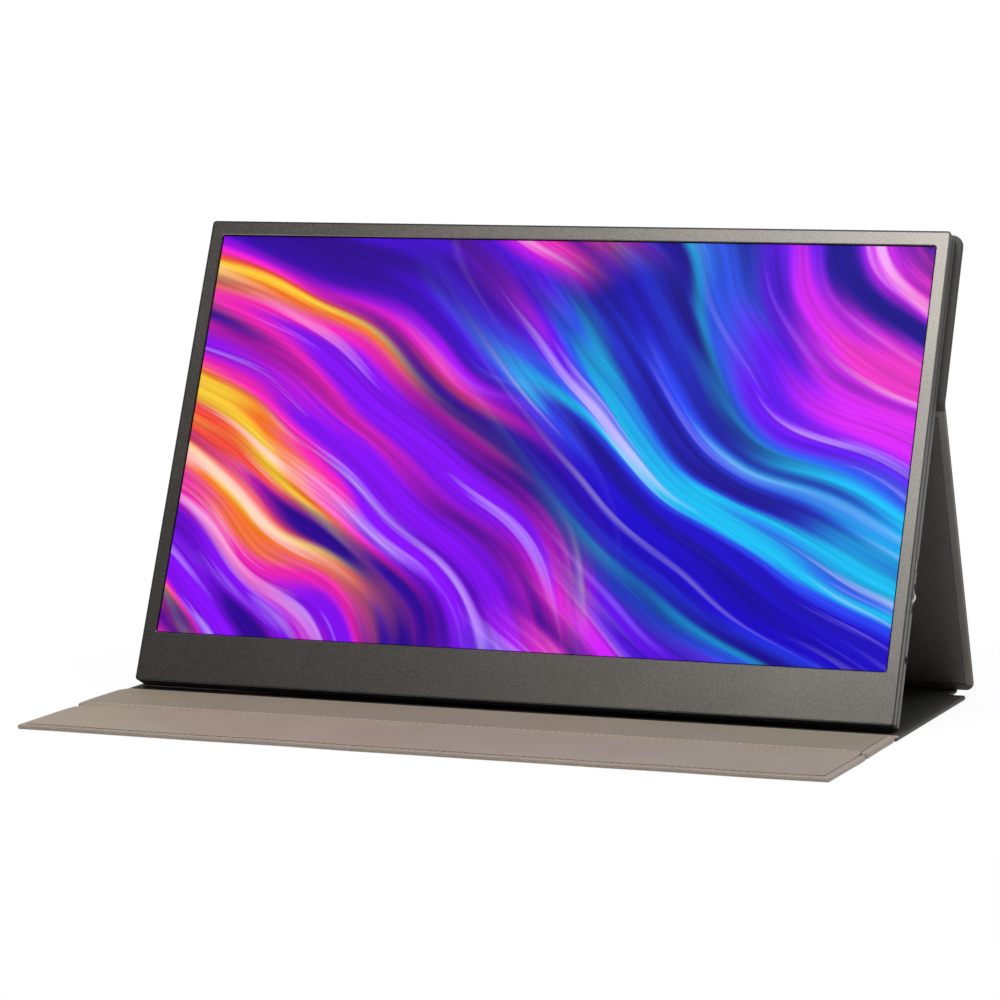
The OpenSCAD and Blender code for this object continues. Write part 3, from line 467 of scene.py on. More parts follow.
# %% Give each node its finish
dressed = {
    "satin_aluminium_paint": ["front_bezel"],
    "black_moulded_abs": ["bezel_carrier"],
    "grey_anodised_aluminium": ["middle_frame"],
    "silver_anodised_aluminium": ["rear_shell"],
    "black_rubber": ["seam_gasket"],
    "greyboard": ["back_panel_board", "leg_board", "floor_board", "spine_board", "inner_flap_board",
                  "outer_flap_board"],
    "nickel_plated_magnet": ["back_magnets", "flap_magnets"],
    "lcd_glass": ["lcd_cell"],
    "optical_film": ["prism_films", "diffuser_film", "reflector_film"],
    "acrylic_light_guide": ["light_guide"],
    "tinned_steel": ["backlight_tray", "magnet_plates", "dial_bracket"],
    "white_polycarbonate": ["panel_frame"],
    "phosphor_lamps": ["led_strip"],
    "green_solder_mask": ["source_board", "main_board", "key_board"],
    "epoxy_chip": ["board_chips"],
    "polyimide_ribbon": ["panel_cable", "key_cable"],
    "plated_socket": ["type_c_sockets", "video_socket", "side_switches"],
    "black_nylon": ["audio_jack"],
    "silver_key": ["power_button", "jog_dial"],
    "dark_key": ["menu_button"],
    "frosted_light_pipe": ["status_light"],
    "speaker_cone": ["speakers"],
    "zinc_plated_screw": ["housing_screws", "board_screws"],
}
for finish_name, names in dressed.items():
    for name in names:
        slots = nodes[name].data.materials
        slots.clear()
        slots.append(finishes[finish_name])
print("dressed nodes:", sum(len(names) for names in dressed.values()))

# %% [markdown]
# ## From a bmesh to a piece
# Each soft piece is drawn flat, with its outer face down, then laid in its place. The UV map is written
# while the piece is still flat, in metres, so grain keeps its real size. On a side wall the height is
# added, so the grain doesn't smear there.

# %% Finish a piece
# A face counts as a side wall below this upright share of its normal; a bend over so many degrees is sharp.
wall_slope, sharp_bend = 0.6, 50


def flat_map(bm):
    """Writes a UV map in metres from the drawing's own X and Y, with height added on the side walls."""
    layer = bm.loops.layers.uv.new("flat")
    bm.normal_update()
    for face in bm.faces:
        steep = abs(face.normal.z) < wall_slope
        for loop in face.loops:
            spot = loop.vert.co
            rise = spot.z if steep else 0.0
            loop[layer].uv = (spot.x + rise, spot.y + rise)


def make_piece(bm, name, body, materials, place=None, mapped=True):
    """Turns the bmesh into a smooth-shaded object, laid in place and riding on a body."""
    if mapped:
        flat_map(bm)
    if place is not None:
        bmesh.ops.transform(bm, matrix=place, verts=bm.verts)
    mesh = bpy.data.meshes.new(name)
    bm.to_mesh(mesh)
    bm.free()
    for material in materials:
        mesh.materials.append(material)
    piece = bpy.data.objects.new(name, mesh)
    bpy.context.scene.collection.objects.link(piece)
    mesh.polygons.foreach_set("use_smooth", [True] * len(mesh.polygons))
    mesh.set_sharp_from_angle(angle=math.radians(sharp_bend))
    if body is not None:
        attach(piece, body)
    print(name, "has", len(mesh.polygons), "faces")
    return piece


def laid(origin, along, inward):
    """The matrix that lays a flat drawing: its Y along one direction, its inner face towards another."""
    across = along.cross(inward)
    turn = Matrix((across, along, inward)).transposed().to_4x4()
    return Matrix.Translation(origin) @ turn


# %% [markdown]
# ## A panel of the cover
# A real panel is a greyboard plate in a skin that is turned over its edge and glued down as a hem, with a
# lining laid into the hem. The skin starts as a box: its upright corners and its rims are bevelled, cuts
# at the hem line and about every nine millimetres give it enough points to be uneven, and the middle is
# pushed in for the board by three extrusions.

# %% Wrapped panel
on_plane, same_place = 1e-7, 1e-5
corner_steps, rim_steps, pocket_steps = 6, 4, 4
# An upright corner is a little wider than its rim, and a level face has nearly all of its normal in Z.
corner_over_rim, level_face, upper_face = 1.15, 0.9, 0.5


def cut_at(bm, axis, spots):
    """Cuts the whole mesh with planes across an axis (0 or 1)."""
    for spot in spots:
        where, normal = Vector((0, 0, 0)), Vector((0, 0, 0))
        where[axis], normal[axis] = spot, 1
        bmesh.ops.bisect_plane(bm, geom=bm.verts[:] + bm.edges[:] + bm.faces[:], dist=on_plane,
                               plane_co=where, plane_no=normal)


def evenly(low, high, pitch):
    """Cut positions between two limits, about a pitch apart."""
    count = max(1, round((high - low) / pitch))
    return [low + (high - low) * k / count for k in range(1, count)]


def soft_slab(width, length, thick, near_r, far_r, rim):
    """A closed slab from Y = 0 to its length, with rounded corners and softened rims."""
    bm = bmesh.new()
    bmesh.ops.create_cube(bm, size=1)
    bmesh.ops.scale(bm, vec=(width, length, thick), verts=bm.verts)
    bmesh.ops.translate(bm, vec=(0, length / 2, thick / 2), verts=bm.verts)
    least = corner_over_rim * rim
    for near, radius in ((True, max(near_r, least)), (False, max(far_r, least))):
        upright = [e for e in bm.edges if abs(e.verts[0].co.z - e.verts[1].co.z) > thick / 2
                   and (e.verts[0].co.y < length / 2) == near]
        bmesh.ops.bevel(bm, geom=upright, offset=radius, affect="EDGES", segments=corner_steps,
                        profile=0.5, material=-1)
    flat_faces = [f for f in bm.faces if abs(f.normal.z) > level_face]
    rims = list({e for f in flat_faces for e in f.edges})
    bmesh.ops.bevel(bm, geom=rims, offset=rim, affect="EDGES", segments=rim_steps, profile=0.5, material=-1)
    return bm


fold_calm, calm_reach = 3 * mm, 8 * mm
# The same noise, read this far away, serves for the second way of the sway and for the lift.
lift_shift, sway_shift = Vector((3.1, 0, 0)), Vector((0, 7.7, 0))
mean_lift = 0.5


def uneven(bm, lift, sway, wave, origin=Vector((0, 0, 0))):
    """Moves the points a little by slow noise: lift upwards only, sway in the plane. Close to the flaps'
    fold nothing moves, because there the edges pass each other when the flap is lifted."""
    for vert in bm.verts:
        place = vert.co + origin
        free = min(max((abs(place.y - flap_axis.y) - fold_calm) / calm_reach, 0), 1)
        spot = place / wave
        rise = noise.noise(spot + lift_shift)
        vert.co += free * Vector((sway * noise.noise(spot), sway * noise.noise(spot + sway_shift),
                                  lift * max(0.0, mean_lift + rise)))


# Thickness of the skin, width of its wall at the edge, thickness of the lining, and the gap round it.
skin_t, edge_w, film_t, seam = 0.6 * mm, 1.3 * mm, 0.5 * mm, 0.25 * mm
cut_pitch, slow_wave = 9 * mm, 45 * mm
# A soft rim takes this share of a panel's thickness.
rim_share = 0.42


def wrap(name, body, size, hems, radii, place, materials, lift=0.0, sway=0.0):
    """A skin turned in as hems (sides, near end, far end), with a pocket for its board. The materials are
    those of the outside, the hem and the near end's hem."""
    width, length, thick = size
    side_hem, near_hem, far_hem = hems
    near_r, far_r = radii
    bm = soft_slab(width, length, thick, near_r, far_r, rim_share * thick)
    side = width / 2 - side_hem
    cut_at(bm, 0, [-side, side] + evenly(-side, side, cut_pitch))
    cut_at(bm, 1, [near_hem, length - far_hem] + evenly(near_hem, length - far_hem, cut_pitch))
    bm.normal_update()
    def inside(face):
        middle = face.calc_center_median()
        return face.normal.z > level_face and abs(middle.x) < side and near_hem < middle.y < length - far_hem
    for face in bm.faces:
        if face.normal.z > upper_face and not inside(face):
            face.material_index = 2 if face.calc_center_median().y < near_hem else 1
    pocket = [f for f in bm.faces if inside(f)]
    for drop, widened in ((skin_t, False), (0, True), (thick - 2 * skin_t, False)):
        grown = bmesh.ops.extrude_face_region(bm, geom=pocket)
        bmesh.ops.delete(bm, geom=pocket, context="FACES")
        pocket = [g for g in grown["geom"] if isinstance(g, bmesh.types.BMFace)]
        for vert in {v for f in pocket for v in f.verts}:
            vert.co.z -= drop
            if widened:
                vert.co.x *= (width / 2 - edge_w) / side
                share = (vert.co.y - near_hem) / (length - near_hem - far_hem)
                vert.co.y = edge_w + share * (length - 2 * edge_w)
    for near, radius in ((True, near_r - edge_w), (False, far_r - edge_w)):
        corners = [e for e in bm.edges if radius > 0 and abs(e.verts[0].co.z - e.verts[1].co.z) > thick / 3
                   and all(abs(abs(v.co.x) - width / 2 + edge_w) < same_place for v in e.verts)
                   and all(min(abs(v.co.y - edge_w), abs(v.co.y - length + edge_w)) < same_place
                           for v in e.verts)
                   and (e.verts[0].co.y < length / 2) == near]
        bmesh.ops.bevel(bm, geom=corners, offset=max(radius, 0), affect="EDGES", segments=pocket_steps,
                        profile=0.5, material=-1)
    bmesh.ops.recalc_face_normals(bm, faces=bm.faces)
    uneven(bm, lift, sway, slow_wave, place.translation)
    piece = make_piece(bm, name + "_wrap", body, materials, place)
    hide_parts(name + "_skin")


film_corner, film_rim, film_lift = 0.5 * mm, 0.4 * film_t, 0.02 * mm


def laid_in_film(name, body, size, hem, place, material):
    """The lining of a grey panel: a sheet laid into the hem, a hair below its top."""
    width, length, thick = size
    side = width / 2 - hem
    bm = soft_slab(2 * (side - seam), length - 2 * (hem + seam), film_t, film_corner, film_corner, film_rim)
    bmesh.ops.translate(bm, vec=(0, hem + seam, thick - skin_t + film_lift), verts=bm.verts)
    cut_at(bm, 0, evenly(-side, side, cut_pitch))
    cut_at(bm, 1, evenly(hem, length - hem, cut_pitch))
    piece = make_piece(bm, name + "_film", body, [material], place)
    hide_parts(name + "_lining")


# %% [markdown]
# ## The grey panels
# Back panel, leg and floor panel share one thickness. The floor panel's box gives its size directly. The
# leg and the back panel are leaned, so their length and place are read from their skins' points, measured
# along the direction in which they lean.

# %% Back panel, leg and floor panel
def along_of(name, along, origin):
    """Lowest and highest reach of a node's points along a direction, measured from an origin."""
    reach = [(v.co - origin).dot(along) for v in nodes[name].data.vertices]
    return min(reach), max(reach)


UP = Vector((0, 0, 1))
BACK = Vector((0, 1, 0))
leg_inward = Vector((0, -leg_up.z, leg_up.y))
cover_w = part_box("leg_skin")[1].x * 2
panel_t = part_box("floor_skin")[1].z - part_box("floor_skin")[0].z
panel_radius, fold_radius = 1.6 * mm, 0.8 * mm
back_radius, leg_radius = 5.5 * mm, 4 * mm
hem_w = 3.5 * mm


def grey_panel(name, body, length, radii, place, hem_materials, film_material):
    """One stiff panel of the grey part: its wrapped skin and its lining."""
    size = (cover_w, length, panel_t)
    wrap(name, body, size, (hem_w,) * 3, radii, place, (cover_skin,) + hem_materials)
    laid_in_film(name, body, size, hem_w, place, film_material)


# The leg's hem takes the lighter copy of the hem leather, painted light, and the floor's the darker copy,
# painted shade.
for name, along, inward, origin, radii, hem_materials in (
        ("back_panel", screen_up, screen_normal, mid_axis, (fold_radius, back_radius), (back_hem_skin,) * 2),
        ("leg", leg_up, leg_inward, rear_axis, (leg_radius, fold_radius), (lit_leg_hem_skin, back_hem_skin))):
    low, high = along_of(name + "_skin", along, origin)
    foot = origin + along * low - inward * (panel_t / 2)
    grey_panel(name, name, high - low, radii, laid(foot, along, inward),
               hem_materials, grey_lining)
floor_low, floor_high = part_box("floor_skin")
grey_panel("floor", "floor", floor_high.y - floor_low.y, (fold_radius, fold_radius),
           laid(Vector((0, floor_low.y, floor_low.z)), BACK, UP), (shaded_floor_hem_skin, flap_skin), floor_film)

# %% [markdown]
# ## The spine
# The narrow strip behind the floor panel has no lining: its skin is folded right over its board. Between
# the two runs a flat fold, thinner than they are, pressed down from above.

# %% Spine and its fold
spine_low, spine_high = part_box("spine_skin")
spine_size = spine_high - spine_low
bm = soft_slab(*spine_size, panel_radius, panel_radius, rim_share * spine_size.z)
cut_at(bm, 0, evenly(-spine_size.x / 2, spine_size.x / 2, cut_pitch))
spine = make_piece(bm, "spine_wrap", "floor", [cover_skin],
                   laid(Vector((0, spine_low.y, spine_low.z)), BACK, UP))
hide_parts("spine_skin", "spine_board")

strip_low, strip_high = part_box("spine_fold_strip")
strip_size = strip_high - strip_low
tuck, strip_pitch = 0.8 * mm, 0.6 * mm
strip_rim, strip_dip = 0.35 * strip_size.z, 0.3 * strip_size.z
bm = soft_slab(strip_size.x, strip_size.y + 2 * tuck, strip_size.z, fold_radius, fold_radius, strip_rim)
cut_at(bm, 1, evenly(0, strip_size.y + 2 * tuck, strip_pitch))
for vert in bm.verts:
    if vert.co.z > strip_size.z / 2:
        share = min(max((vert.co.y - tuck) / strip_size.y, 0), 1)
        vert.co.z -= strip_dip * math.sin(math.pi * share) ** 2
spine_fold = make_piece(bm, "spine_fold", "floor", [cover_skin],
                        laid(Vector((0, strip_low.y - tuck, strip_low.z)), BACK, UP))
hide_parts("spine_fold_strip")

# %% [markdown]
# ## The taupe flaps
# Two flaps lie before the screen, the outer one thinner. They are wrapped like the panels, in taupe. One
# sheet of film is glued over both and over the fold between them, so from above they look like a single
# smooth sheet with a soft step. Slow noise lifts wraps and sheet alike, because the film pulls on the
# thin boards. The noise is read at the place in the model, so all three stay in step, and it fades out
# at the fold between them, where their edges pass each other as the flap is lifted.

# %% Flap wraps
flap_hem = 3 * mm
flap_lift, flap_sway = 0.25 * mm, 0.12 * mm
# By flap: its front edge, its top and its back edge.
flap_spots = {}
for name, hems, radii in (("inner_flap", (flap_hem, edge_w, edge_w), (fold_radius, fold_radius)),
                          ("outer_flap", (flap_hem, flap_hem, edge_w), (panel_radius, fold_radius))):
    low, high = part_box(name + "_skin")
    flap_spots[name[:5]] = (low.y, high.z, high.y)
    place = laid(Vector((0, low.y, low.z)), BACK, UP)
    wrap(name, name, tuple(high - low), hems, radii, place, (flap_skin,) * 3,
         flap_lift, flap_sway)

# %% Flap sheet
sheet_rise, sheet_rim = 0.3 * mm, 0.1 * mm
over_outer, over_inner = 0.4 * mm, 0.6 * mm
step_pitch, step_dip = 0.35 * mm, 0.25 * mm
sheet_front = flap_spots["outer"][0] + flap_hem
sheet_back = flap_spots["inner"][2]
step_front, step_back = flap_spots["outer"][2] - over_outer, flap_spots["inner"][0] + over_inner
outer_top, inner_top = flap_spots["outer"][1], flap_spots["inner"][1]
sheet_length = sheet_back - sheet_front
bm = soft_slab(cover_w - 2 * flap_hem, sheet_length, film_t, fold_radius, fold_radius, sheet_rim)
bmesh.ops.translate(bm, vec=(0, sheet_front, -film_t), verts=bm.verts)
cut_at(bm, 0, evenly(-cover_w / 2, cover_w / 2, cut_pitch))
cut_at(bm, 1, evenly(sheet_front, step_front, cut_pitch) + [step_front]
       + evenly(step_front, step_back, step_pitch) + [step_back] + evenly(step_back, sheet_back, cut_pitch))
bm.normal_update()
# Side walls take the darker edge leather, a painted shade.
for face in bm.faces:
    face.material_index = 1 if face.normal.z < upper_face else 0
for vert in bm.verts:
    share = min(max((vert.co.y - step_front) / (step_back - step_front), 0), 1)
    eased = share * share * (3 - 2 * share)
    level = outer_top + (inner_top - outer_top) * eased
    vert.co.z += level + sheet_rise - step_dip * math.sin(math.pi * share) ** 2 * (1 - share)
uneven(bm, flap_lift, flap_sway, slow_wave)
sheet = make_piece(bm, "flap_film", None, [flap_film, flap_edge_shade])
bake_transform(sheet)
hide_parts("inner_flap_lining", "outer_flap_lining")

# %% [markdown]
# ## The folds
# Between two panels only skin and lining run on, glued back to back. Such a fold is a bar of film: its
# end face starts at one panel, is spun about a centre so that it turns from the first panel's direction
# to the second's, and ends at the second panel. A fold that lies flat is extruded straight and pressed
# in along its middle. Its ends are tucked into the panels, and its sides are rounded as theirs are.

# %% Fold strips
FRONT = -BACK
bar_columns, bar_rows = 36, 4
rounding_shares = (1.0, 0.6, 0.3, 0.1)
straight_steps, arc_steps = 8, 10
no_turn, no_length = 0.01, 1e-5
# A face counts as an inner one above this share of its normal, and a point dips above this height.
inner_share, dip_from = 0.4, -0.1


def inward_of(second, first, inward):
    """The inner side at the second panel: the first one's, turned with the fold."""
    return first.rotation_difference(second) @ inward


def draw_out(bm, faces, way, distance, steps=1, keep_first=False):
    """Extrudes faces along a way in equal steps, and returns the faces at its end."""
    for k in range(steps):
        grown = bmesh.ops.extrude_face_region(bm, geom=faces)
        if k or not keep_first:
            bmesh.ops.delete(bm, geom=faces, context="FACES")
        faces = [g for g in grown["geom"] if isinstance(g, bmesh.types.BMFace)]
        verts = list({v for f in faces for v in f.verts})
        bmesh.ops.translate(bm, vec=way * (distance / steps), verts=verts)
    return faces


def fold_bar(name, node, pivot, first, second, inward, spaces, tucks, inset, thick, materials,
             dip=0.0):
    """A bar of film over a fold, from the first panel along its direction to the second panel."""
    turn = first.angle(second)
    start, finish = pivot - first * spaces[0], pivot + second * spaces[1]
    half, rim = cover_w / 2 - inset, rim_share * thick
    bm = bmesh.new()
    bmesh.ops.create_grid(bm, x_segments=bar_columns, y_segments=bar_rows, size=0.5)
    bmesh.ops.scale(bm, vec=(2 * half, thick, 1), verts=bm.verts)
    hem_line = cover_w / 2 - hem_w
    rounding = [half - rim * share for share in rounding_shares]
    cut_at(bm, 0, [-hem_line, hem_line] + rounding + [-spot for spot in rounding])
    for vert in bm.verts:
        over = max(0.0, (abs(vert.co.x) - half + rim) / rim)
        vert.co.y *= (1 - rim / (thick / 2)) + rim / (thick / 2) * math.sqrt(max(0.0, 1 - over * over))
    bmesh.ops.transform(bm, matrix=laid(start - first * tucks[0], inward, -first), verts=bm.verts)
    arc = min(spaces) if turn > no_turn else 0.0
    straight = spaces[0] - arc + (spaces[1] if turn < no_turn else 0)
    faces = draw_out(bm, bm.faces[:], first, tucks[0], keep_first=True)
    if straight > no_length:
        faces = draw_out(bm, faces, first, straight, straight_steps)
    if turn > no_turn:
        sideways = (second - first * first.dot(second)).normalized()
        centre = pivot - first * arc + sideways * arc / math.tan(turn / 2)
        spun = bmesh.ops.spin(bm, geom=faces, cent=centre, axis=first.cross(sideways), angle=turn,
                              steps=arc_steps, dvec=(0, 0, 0), use_merge=False, use_normal_flip=False,
                              use_duplicate=False)
        bmesh.ops.delete(bm, geom=faces, context="FACES")
        faces = [g for g in spun["geom_last"] if isinstance(g, bmesh.types.BMFace)]
    else:
        for vert in bm.verts:
            share = (vert.co - start).dot(first) / straight
            if (vert.co - pivot).dot(inward) > thick * dip_from:
                vert.co -= inward * dip * math.sin(math.pi * min(max(share, 0), 1)) ** 2
    draw_out(bm, faces, second, tucks[1])
    bmesh.ops.recalc_face_normals(bm, faces=bm.faces)
    layer = bm.loops.layers.uv.new("flat")
    for face in bm.faces:
        middle = face.calc_center_median()
        near_start = (middle - start).length < (middle - finish).length
        side = inward if near_start else inward_of(second, first, inward)
        inner = face.normal.dot(side) > inner_share
        face.material_index = 0 if not inner else 1 if abs(middle.x) < hem_line else 2
        for loop in face.loops:
            loop[layer].uv = (loop.vert.co.x, (loop.vert.co - start).length)
    piece = make_piece(bm, name, None, materials, mapped=False)
    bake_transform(piece)
    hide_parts(node)


# Each call gives, after the name and the node, the axis, both panels' directions and the inner side;
# the reach before and after the axis; the tucks; the inset of the sides and the thickness; the materials
# of outside, inside and hem; and for a pressed fold how far its middle dips.
fold_bar("middle_fold", "mid_fold_strip", mid_axis, leg_up, screen_up, leg_inward,
         (2.3 * mm, 2.3 * mm), (0.9 * mm, 0.9 * mm), 0.05 * mm, panel_t - 0.06 * mm,
         [cover_skin, grey_lining, back_hem_skin])
fold_bar("rear_fold", "rear_fold_strip", rear_axis, BACK, leg_up, UP,
         (4.5 * mm, 1.5 * mm), (0.6 * mm, 0.6 * mm), 8 * mm, 1.2 * mm, [cover_skin, floor_film, cover_skin])
fold_bar("front_fold", "front_fold_strip", front_axis, FRONT, FRONT, UP,
         (2.2 * mm, 2.2 * mm), (0.6 * mm, 0.6 * mm), 1 * mm, 1.9 * mm,
         [flap_skin, flap_skin, flap_skin], 0.3 * mm)
fold_bar("flap_fold", "flap_fold_strip", flap_axis, FRONT, FRONT, UP,
         (1.5 * mm, 1.5 * mm), (0.5 * mm, 0.5 * mm), 1 * mm, 1.6 * mm,
         [flap_skin, flap_skin, flap_skin])

# %% [markdown]
# ## The picture
# A lit display shows colour by its own light. The picture is a generic one: silky fans of violet,
# magenta, orange and cyan. Two sets of arcs, one about a point off the lower left and one off the upper
# right, are warped by slow noise and coloured by ramps; fine noise stretched along the arcs makes the
# bright threads. It is drawn in the screen's own UV map, in widths of the display.

# %% Picture material
screen_size = (344.2 * mm, 193.6 * mm)
# Stretch along the radius and the angle, and detail, of the broad colour, the folds, the threads, the silk.
band_rows = (((5.0, 0.8, 1), 1.0), ((15, 1.3, 1), 2), ((52, 1.6, 1), 3), ((150, 2.2, 1), 3))
# How much the folds shift the colour, and how pale the bright threads are.
fold_tint, thread_tint = 0.3, 0.5


def fan(tree, flat, centre, warp_size, stops, deep, seed):
    """Arcs about a centre: coloured bands over a deep colour, bright threads and a fine silk along them."""
    slide = add(tree, "Mapping", {"Location": (-centre[0], -centre[1], seed)}, {"Vector": (flat, "UV")})
    slow = add(tree, "TexNoise", {"Scale": 1.7, "Detail": 1.5}, {"Vector": (slide, "Vector")})
    parts = add(tree, "SeparateXYZ", links={"Vector": (slide, "Vector")})
    angle = add(tree, "Math", {"operation": "ARCTAN2"}, {0: (parts, "Y"), 1: (parts, "X")})
    plane = add(tree, "CombineXYZ", links={"X": (parts, "X"), "Y": (parts, "Y")})
    radius = add(tree, "VectorMath", {"operation": "LENGTH"}, {0: (plane, "Vector")})
    bent = add(tree, "Math", {"operation": "MULTIPLY_ADD", 1: warp_size},
               {0: (slow, "Fac"), 2: (radius, "Value")})
    along = add(tree, "CombineXYZ", {"Z": seed}, {"X": (bent, "Value"), "Y": (angle, "Value")})
    bands = []
    for stretch, detail in band_rows:
        drawn = add(tree, "Mapping", {"Scale": stretch}, {"Vector": (along, "Vector")})
        bands.append(add(tree, "TexNoise", {"Scale": 1.0, "Detail": detail}, {"Vector": (drawn, "Vector")}))
    broad, folds, threads, silk = bands
    tone = add(tree, "Math", {"operation": "MULTIPLY_ADD", 1: fold_tint},
               {0: (folds, "Fac"), 2: (broad, "Fac")})
    colour = ramp(tree, stops, (tone, "Value"), "EASE")
    body = ramp(tree, [(0.36, 0.0), (0.55, 1.0)], (folds, "Fac"), "EASE")
    cloth = add(tree, "Mix", {"data_type": "RGBA", 6: linear(deep)},
                {0: (body, "Color"), 7: (colour, "Color")})
    soft = ramp(tree, [(0.35, 0.72), (0.62, 1.0)], (silk, "Fac"))
    cloth = add(tree, "Mix", {"data_type": "RGBA", "blend_type": "MULTIPLY", 0: 1.0},
                {6: (cloth, 2), 7: (soft, "Color")})
    pale = add(tree, "Mix", {"data_type": "RGBA", 0: thread_tint, 7: linear("#ffe2fb")},
               {6: (colour, "Color")})
    glow = ramp(tree, [(0.52, 0.0), (0.68, 1.0)], (threads, "Fac"))
    crest = ramp(tree, [(0.47, 0.0), (0.6, 1.0)], (folds, "Fac"))
    lines = add(tree, "Math", {"operation": "MULTIPLY"}, {0: (glow, "Color"), 1: (crest, "Color")})
    return add(tree, "Mix", {"data_type": "RGBA"}, {0: (lines, "Value"), 6: (cloth, 2), 7: (pale, 2)})


picture, tree = begin("lit_display")
flat = add(tree, "TexCoord")
cool = [(0.50, "#2006d8"), (0.56, "#2c48ff"), (0.60, "#18c8ff"), (0.64, "#3060ff"), (0.69, "#6a10ff"),
        (0.76, "#e028ff"), (0.82, "#ff3ad8")]
warm = [(0.50, "#4a06e0"), (0.56, "#b20cff"), (0.61, "#ff20d8"), (0.65, "#ff5040"), (0.69, "#ffd03c"),
        (0.73, "#ff7a2a"), (0.78, "#ff28c0"), (0.84, "#8a10ff")]
# Each fan: its centre, how far its arcs are warped, its colours, its deep colour and a seed for its noise.
left_fan = fan(tree, flat, (-0.25, -0.35), 0.35, warm, "#32069a", 1.3)
right_fan = fan(tree, flat, (1.35, 1.05), 0.4, cool, "#1a0a96", 4.9)
where = add(tree, "SeparateXYZ", links={"Vector": (flat, "UV")})
drift = add(tree, "TexNoise", {"Scale": 1.9, "Detail": 1}, {"Vector": (flat, "UV")})
line = add(tree, "Math", {"operation": "MULTIPLY_ADD", 1: 1.1}, {0: (drift, "Fac"), 2: (where, "X")})
meet = add(tree, "MapRange", {"From Min": 0.92, "From Max": 1.2, "interpolation_type": "SMOOTHSTEP"},
           {"Value": (line, "Value")})
image = add(tree, "Mix", {"data_type": "RGBA"}, {0: (meet, "Result"), 6: (left_fan, 2), 7: (right_fan, 2)})
height_share = screen_size[1] / screen_size[0]
edges = []
for axis, high in (("X", 1.0), ("Y", height_share)):
    for operation, limit in (("GREATER_THAN", 0.0), ("LESS_THAN", high)):
        edges.append(add(tree, "Math", {"operation": operation, 1: limit}, {0: (where, axis)}))
lit_area = edges[0]
for edge in edges[1:]:
    lit_area = add(tree, "Math", {"operation": "MULTIPLY"}, {0: (lit_area, "Value"), 1: (edge, "Value")})
shown = add(tree, "Mix", {"data_type": "RGBA", 6: linear("#020203")}, {0: (lit_area, "Value"), 7: (image, 2)})
glass = add(tree, "BsdfPrincipled", {"Base Color": linear("#050506"), "Roughness": 0.45,
                                     "Specular IOR Level": 0.05, "Emission Strength": 1.0},
            {"Emission Color": (shown, 2)})
end(tree, glass)
print("picture nodes:", len(tree.nodes))

# %% [markdown]
# ## The display's front
# The front polariser is a plastic sheet on the glass. The piece is a thin slab of its size, with its
# edges just broken. Its UV map runs from 0 to 1 over the lit width, so the rest of the sheet is black.

# %% Display front
# The chin is measured from the monitor's outline. The bezel plate ends a dark rim and a gap before it.
chin_height, rim_and_gap = 23.7 * mm, 0.75 * mm
sheet_corner, broken_edge = 0.5 * mm, 0.05 * mm
zero = Vector((0, 0, 0))
low, high = along_of("front_polariser", screen_up, zero)
depth_low, depth_high = along_of("front_polariser", screen_normal, zero)
plate_low, plate_high = along_of("front_bezel", screen_up, zero)
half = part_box("front_polariser")[1].x
origin = screen_up * low + screen_normal * depth_low
bm = soft_slab(2 * half, high - low, depth_high - depth_low, sheet_corner, sheet_corner, broken_edge)
layer = bm.loops.layers.uv.new("flat")
chin = chin_height - rim_and_gap
foot = plate_low + chin - low
for f in bm.faces:
    for loop in f.loops:
        spot = loop.vert.co
        loop[layer].uv = (spot.x / screen_size[0] + 0.5, (spot.y - foot) / screen_size[0])
place = laid(origin, screen_up, screen_normal)
display = make_piece(bm, "display_front", "monitor", [picture], place, mapped=False)
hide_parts("front_polariser")
print("bezel plate's height, mm:", round((plate_high - plate_low) / mm, 1))

# %% [markdown]
# ## Stitching
# A lockstitch shows as a row of short raised threads. One stitch is a small six-sided rod with tapered
# ends, and a row is the same rod repeated along the seam.

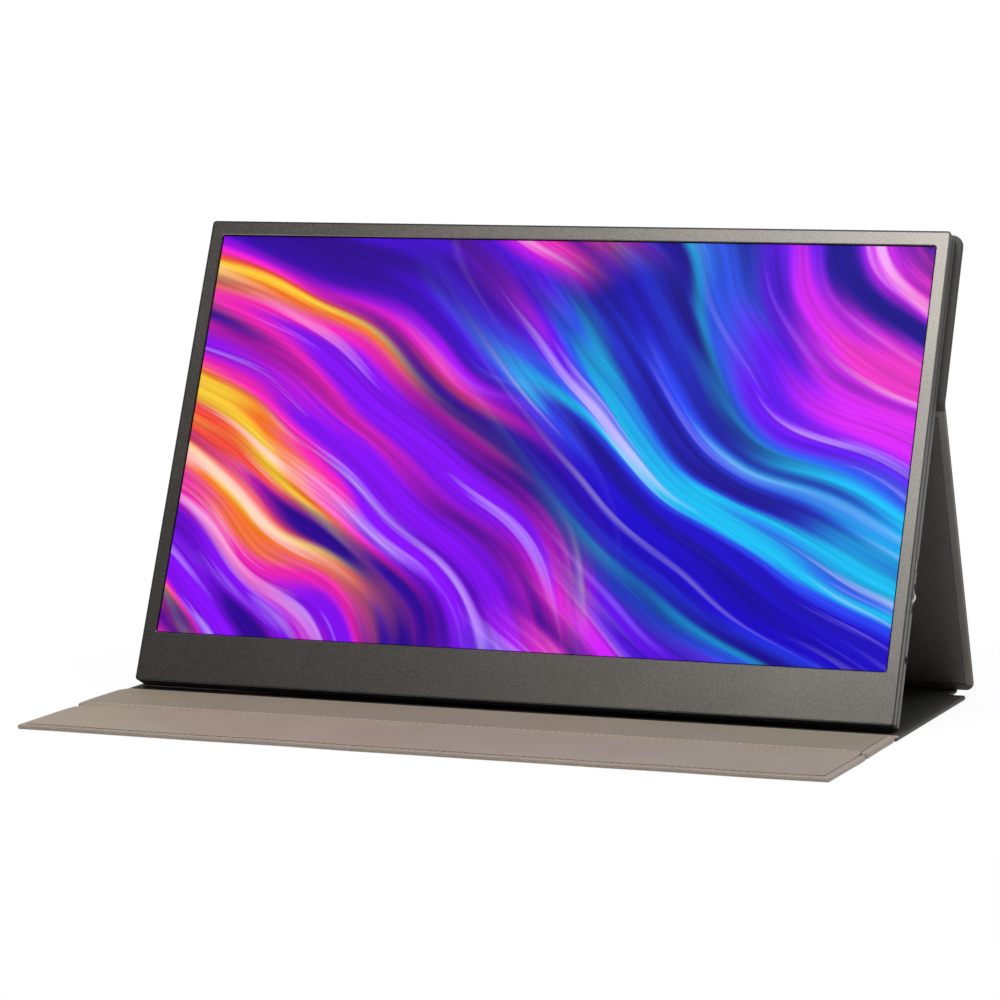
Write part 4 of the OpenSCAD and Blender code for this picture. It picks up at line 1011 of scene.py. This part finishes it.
# %% Stitch rows
# Sides of the rod, the shares of its length that are straight and tapered, and how far its ends narrow.
rod_sides, straight_share, taper_share, tip_share = 6, 0.7, 0.15, 0.45


def stitch_row(name, body, height, y, width, pitch=3.2 * mm, length=2.3 * mm, radius=0.2 * mm):
    """A row of stitches across the cover at a depth Y and a height."""
    bm = bmesh.new()
    count = int(width / pitch)
    for k in range(count):
        x = (k - (count - 1) / 2) * pitch
        rod = bmesh.ops.create_cone(bm, cap_ends=True, cap_tris=False, segments=rod_sides, radius1=radius,
                                    radius2=radius, depth=length * straight_share)["verts"]
        caps = [f for f in {f for v in rod for f in v.link_faces} if len(f.verts) == rod_sides]
        grown = bmesh.ops.extrude_discrete_faces(bm, faces=caps)["faces"]
        for f in grown:
            middle = f.calc_center_median()
            outward = 1 if middle.z > 0 else -1
            for v in f.verts:
                v.co = middle + (v.co - middle) * tip_share + Vector((0, 0, outward * length * taper_share))
        rod = list({v for f in {f for v in rod for f in v.link_faces} | set(grown) for v in f.verts})
        bmesh.ops.rotate(bm, verts=rod, cent=(0, 0, 0), matrix=Matrix.Rotation(math.pi / 2, 3, "Y"))
        bmesh.ops.translate(bm, verts=rod, vec=(x, y, height))
    uneven(bm, flap_lift, flap_sway, slow_wave)
    make_piece(bm, name, body, [thread], mapped=False)


# How far each row lies behind its edge, how much shorter than the cover it is, and the front row's height.
crease_behind, crease_short = 0.9 * mm, 16 * mm
front_behind, front_short, front_rise = 1.9 * mm, 10 * mm, 0.12 * mm
crease_row, front_row = flap_spots["inner"][0] + crease_behind, flap_spots["outer"][0] + front_behind
stitch_row("crease_stitches", "inner_flap", inner_top + sheet_rise, crease_row, cover_w - crease_short)
stitch_row("front_stitches", "outer_flap", outer_top + front_rise, front_row, cover_w - front_short,
           length=1.9 * mm, radius=0.16 * mm)

# %% [markdown]
# ## Finish
# Nodes that are shown without a material are printed, and the view is set to Standard.

# %% Look for nodes without a material and finish
for name, node in nodes.items():
    if not node.hide_render and not node.data.materials:
        print("no material:", name)
bpy.context.scene.view_settings.view_transform = "Standard"
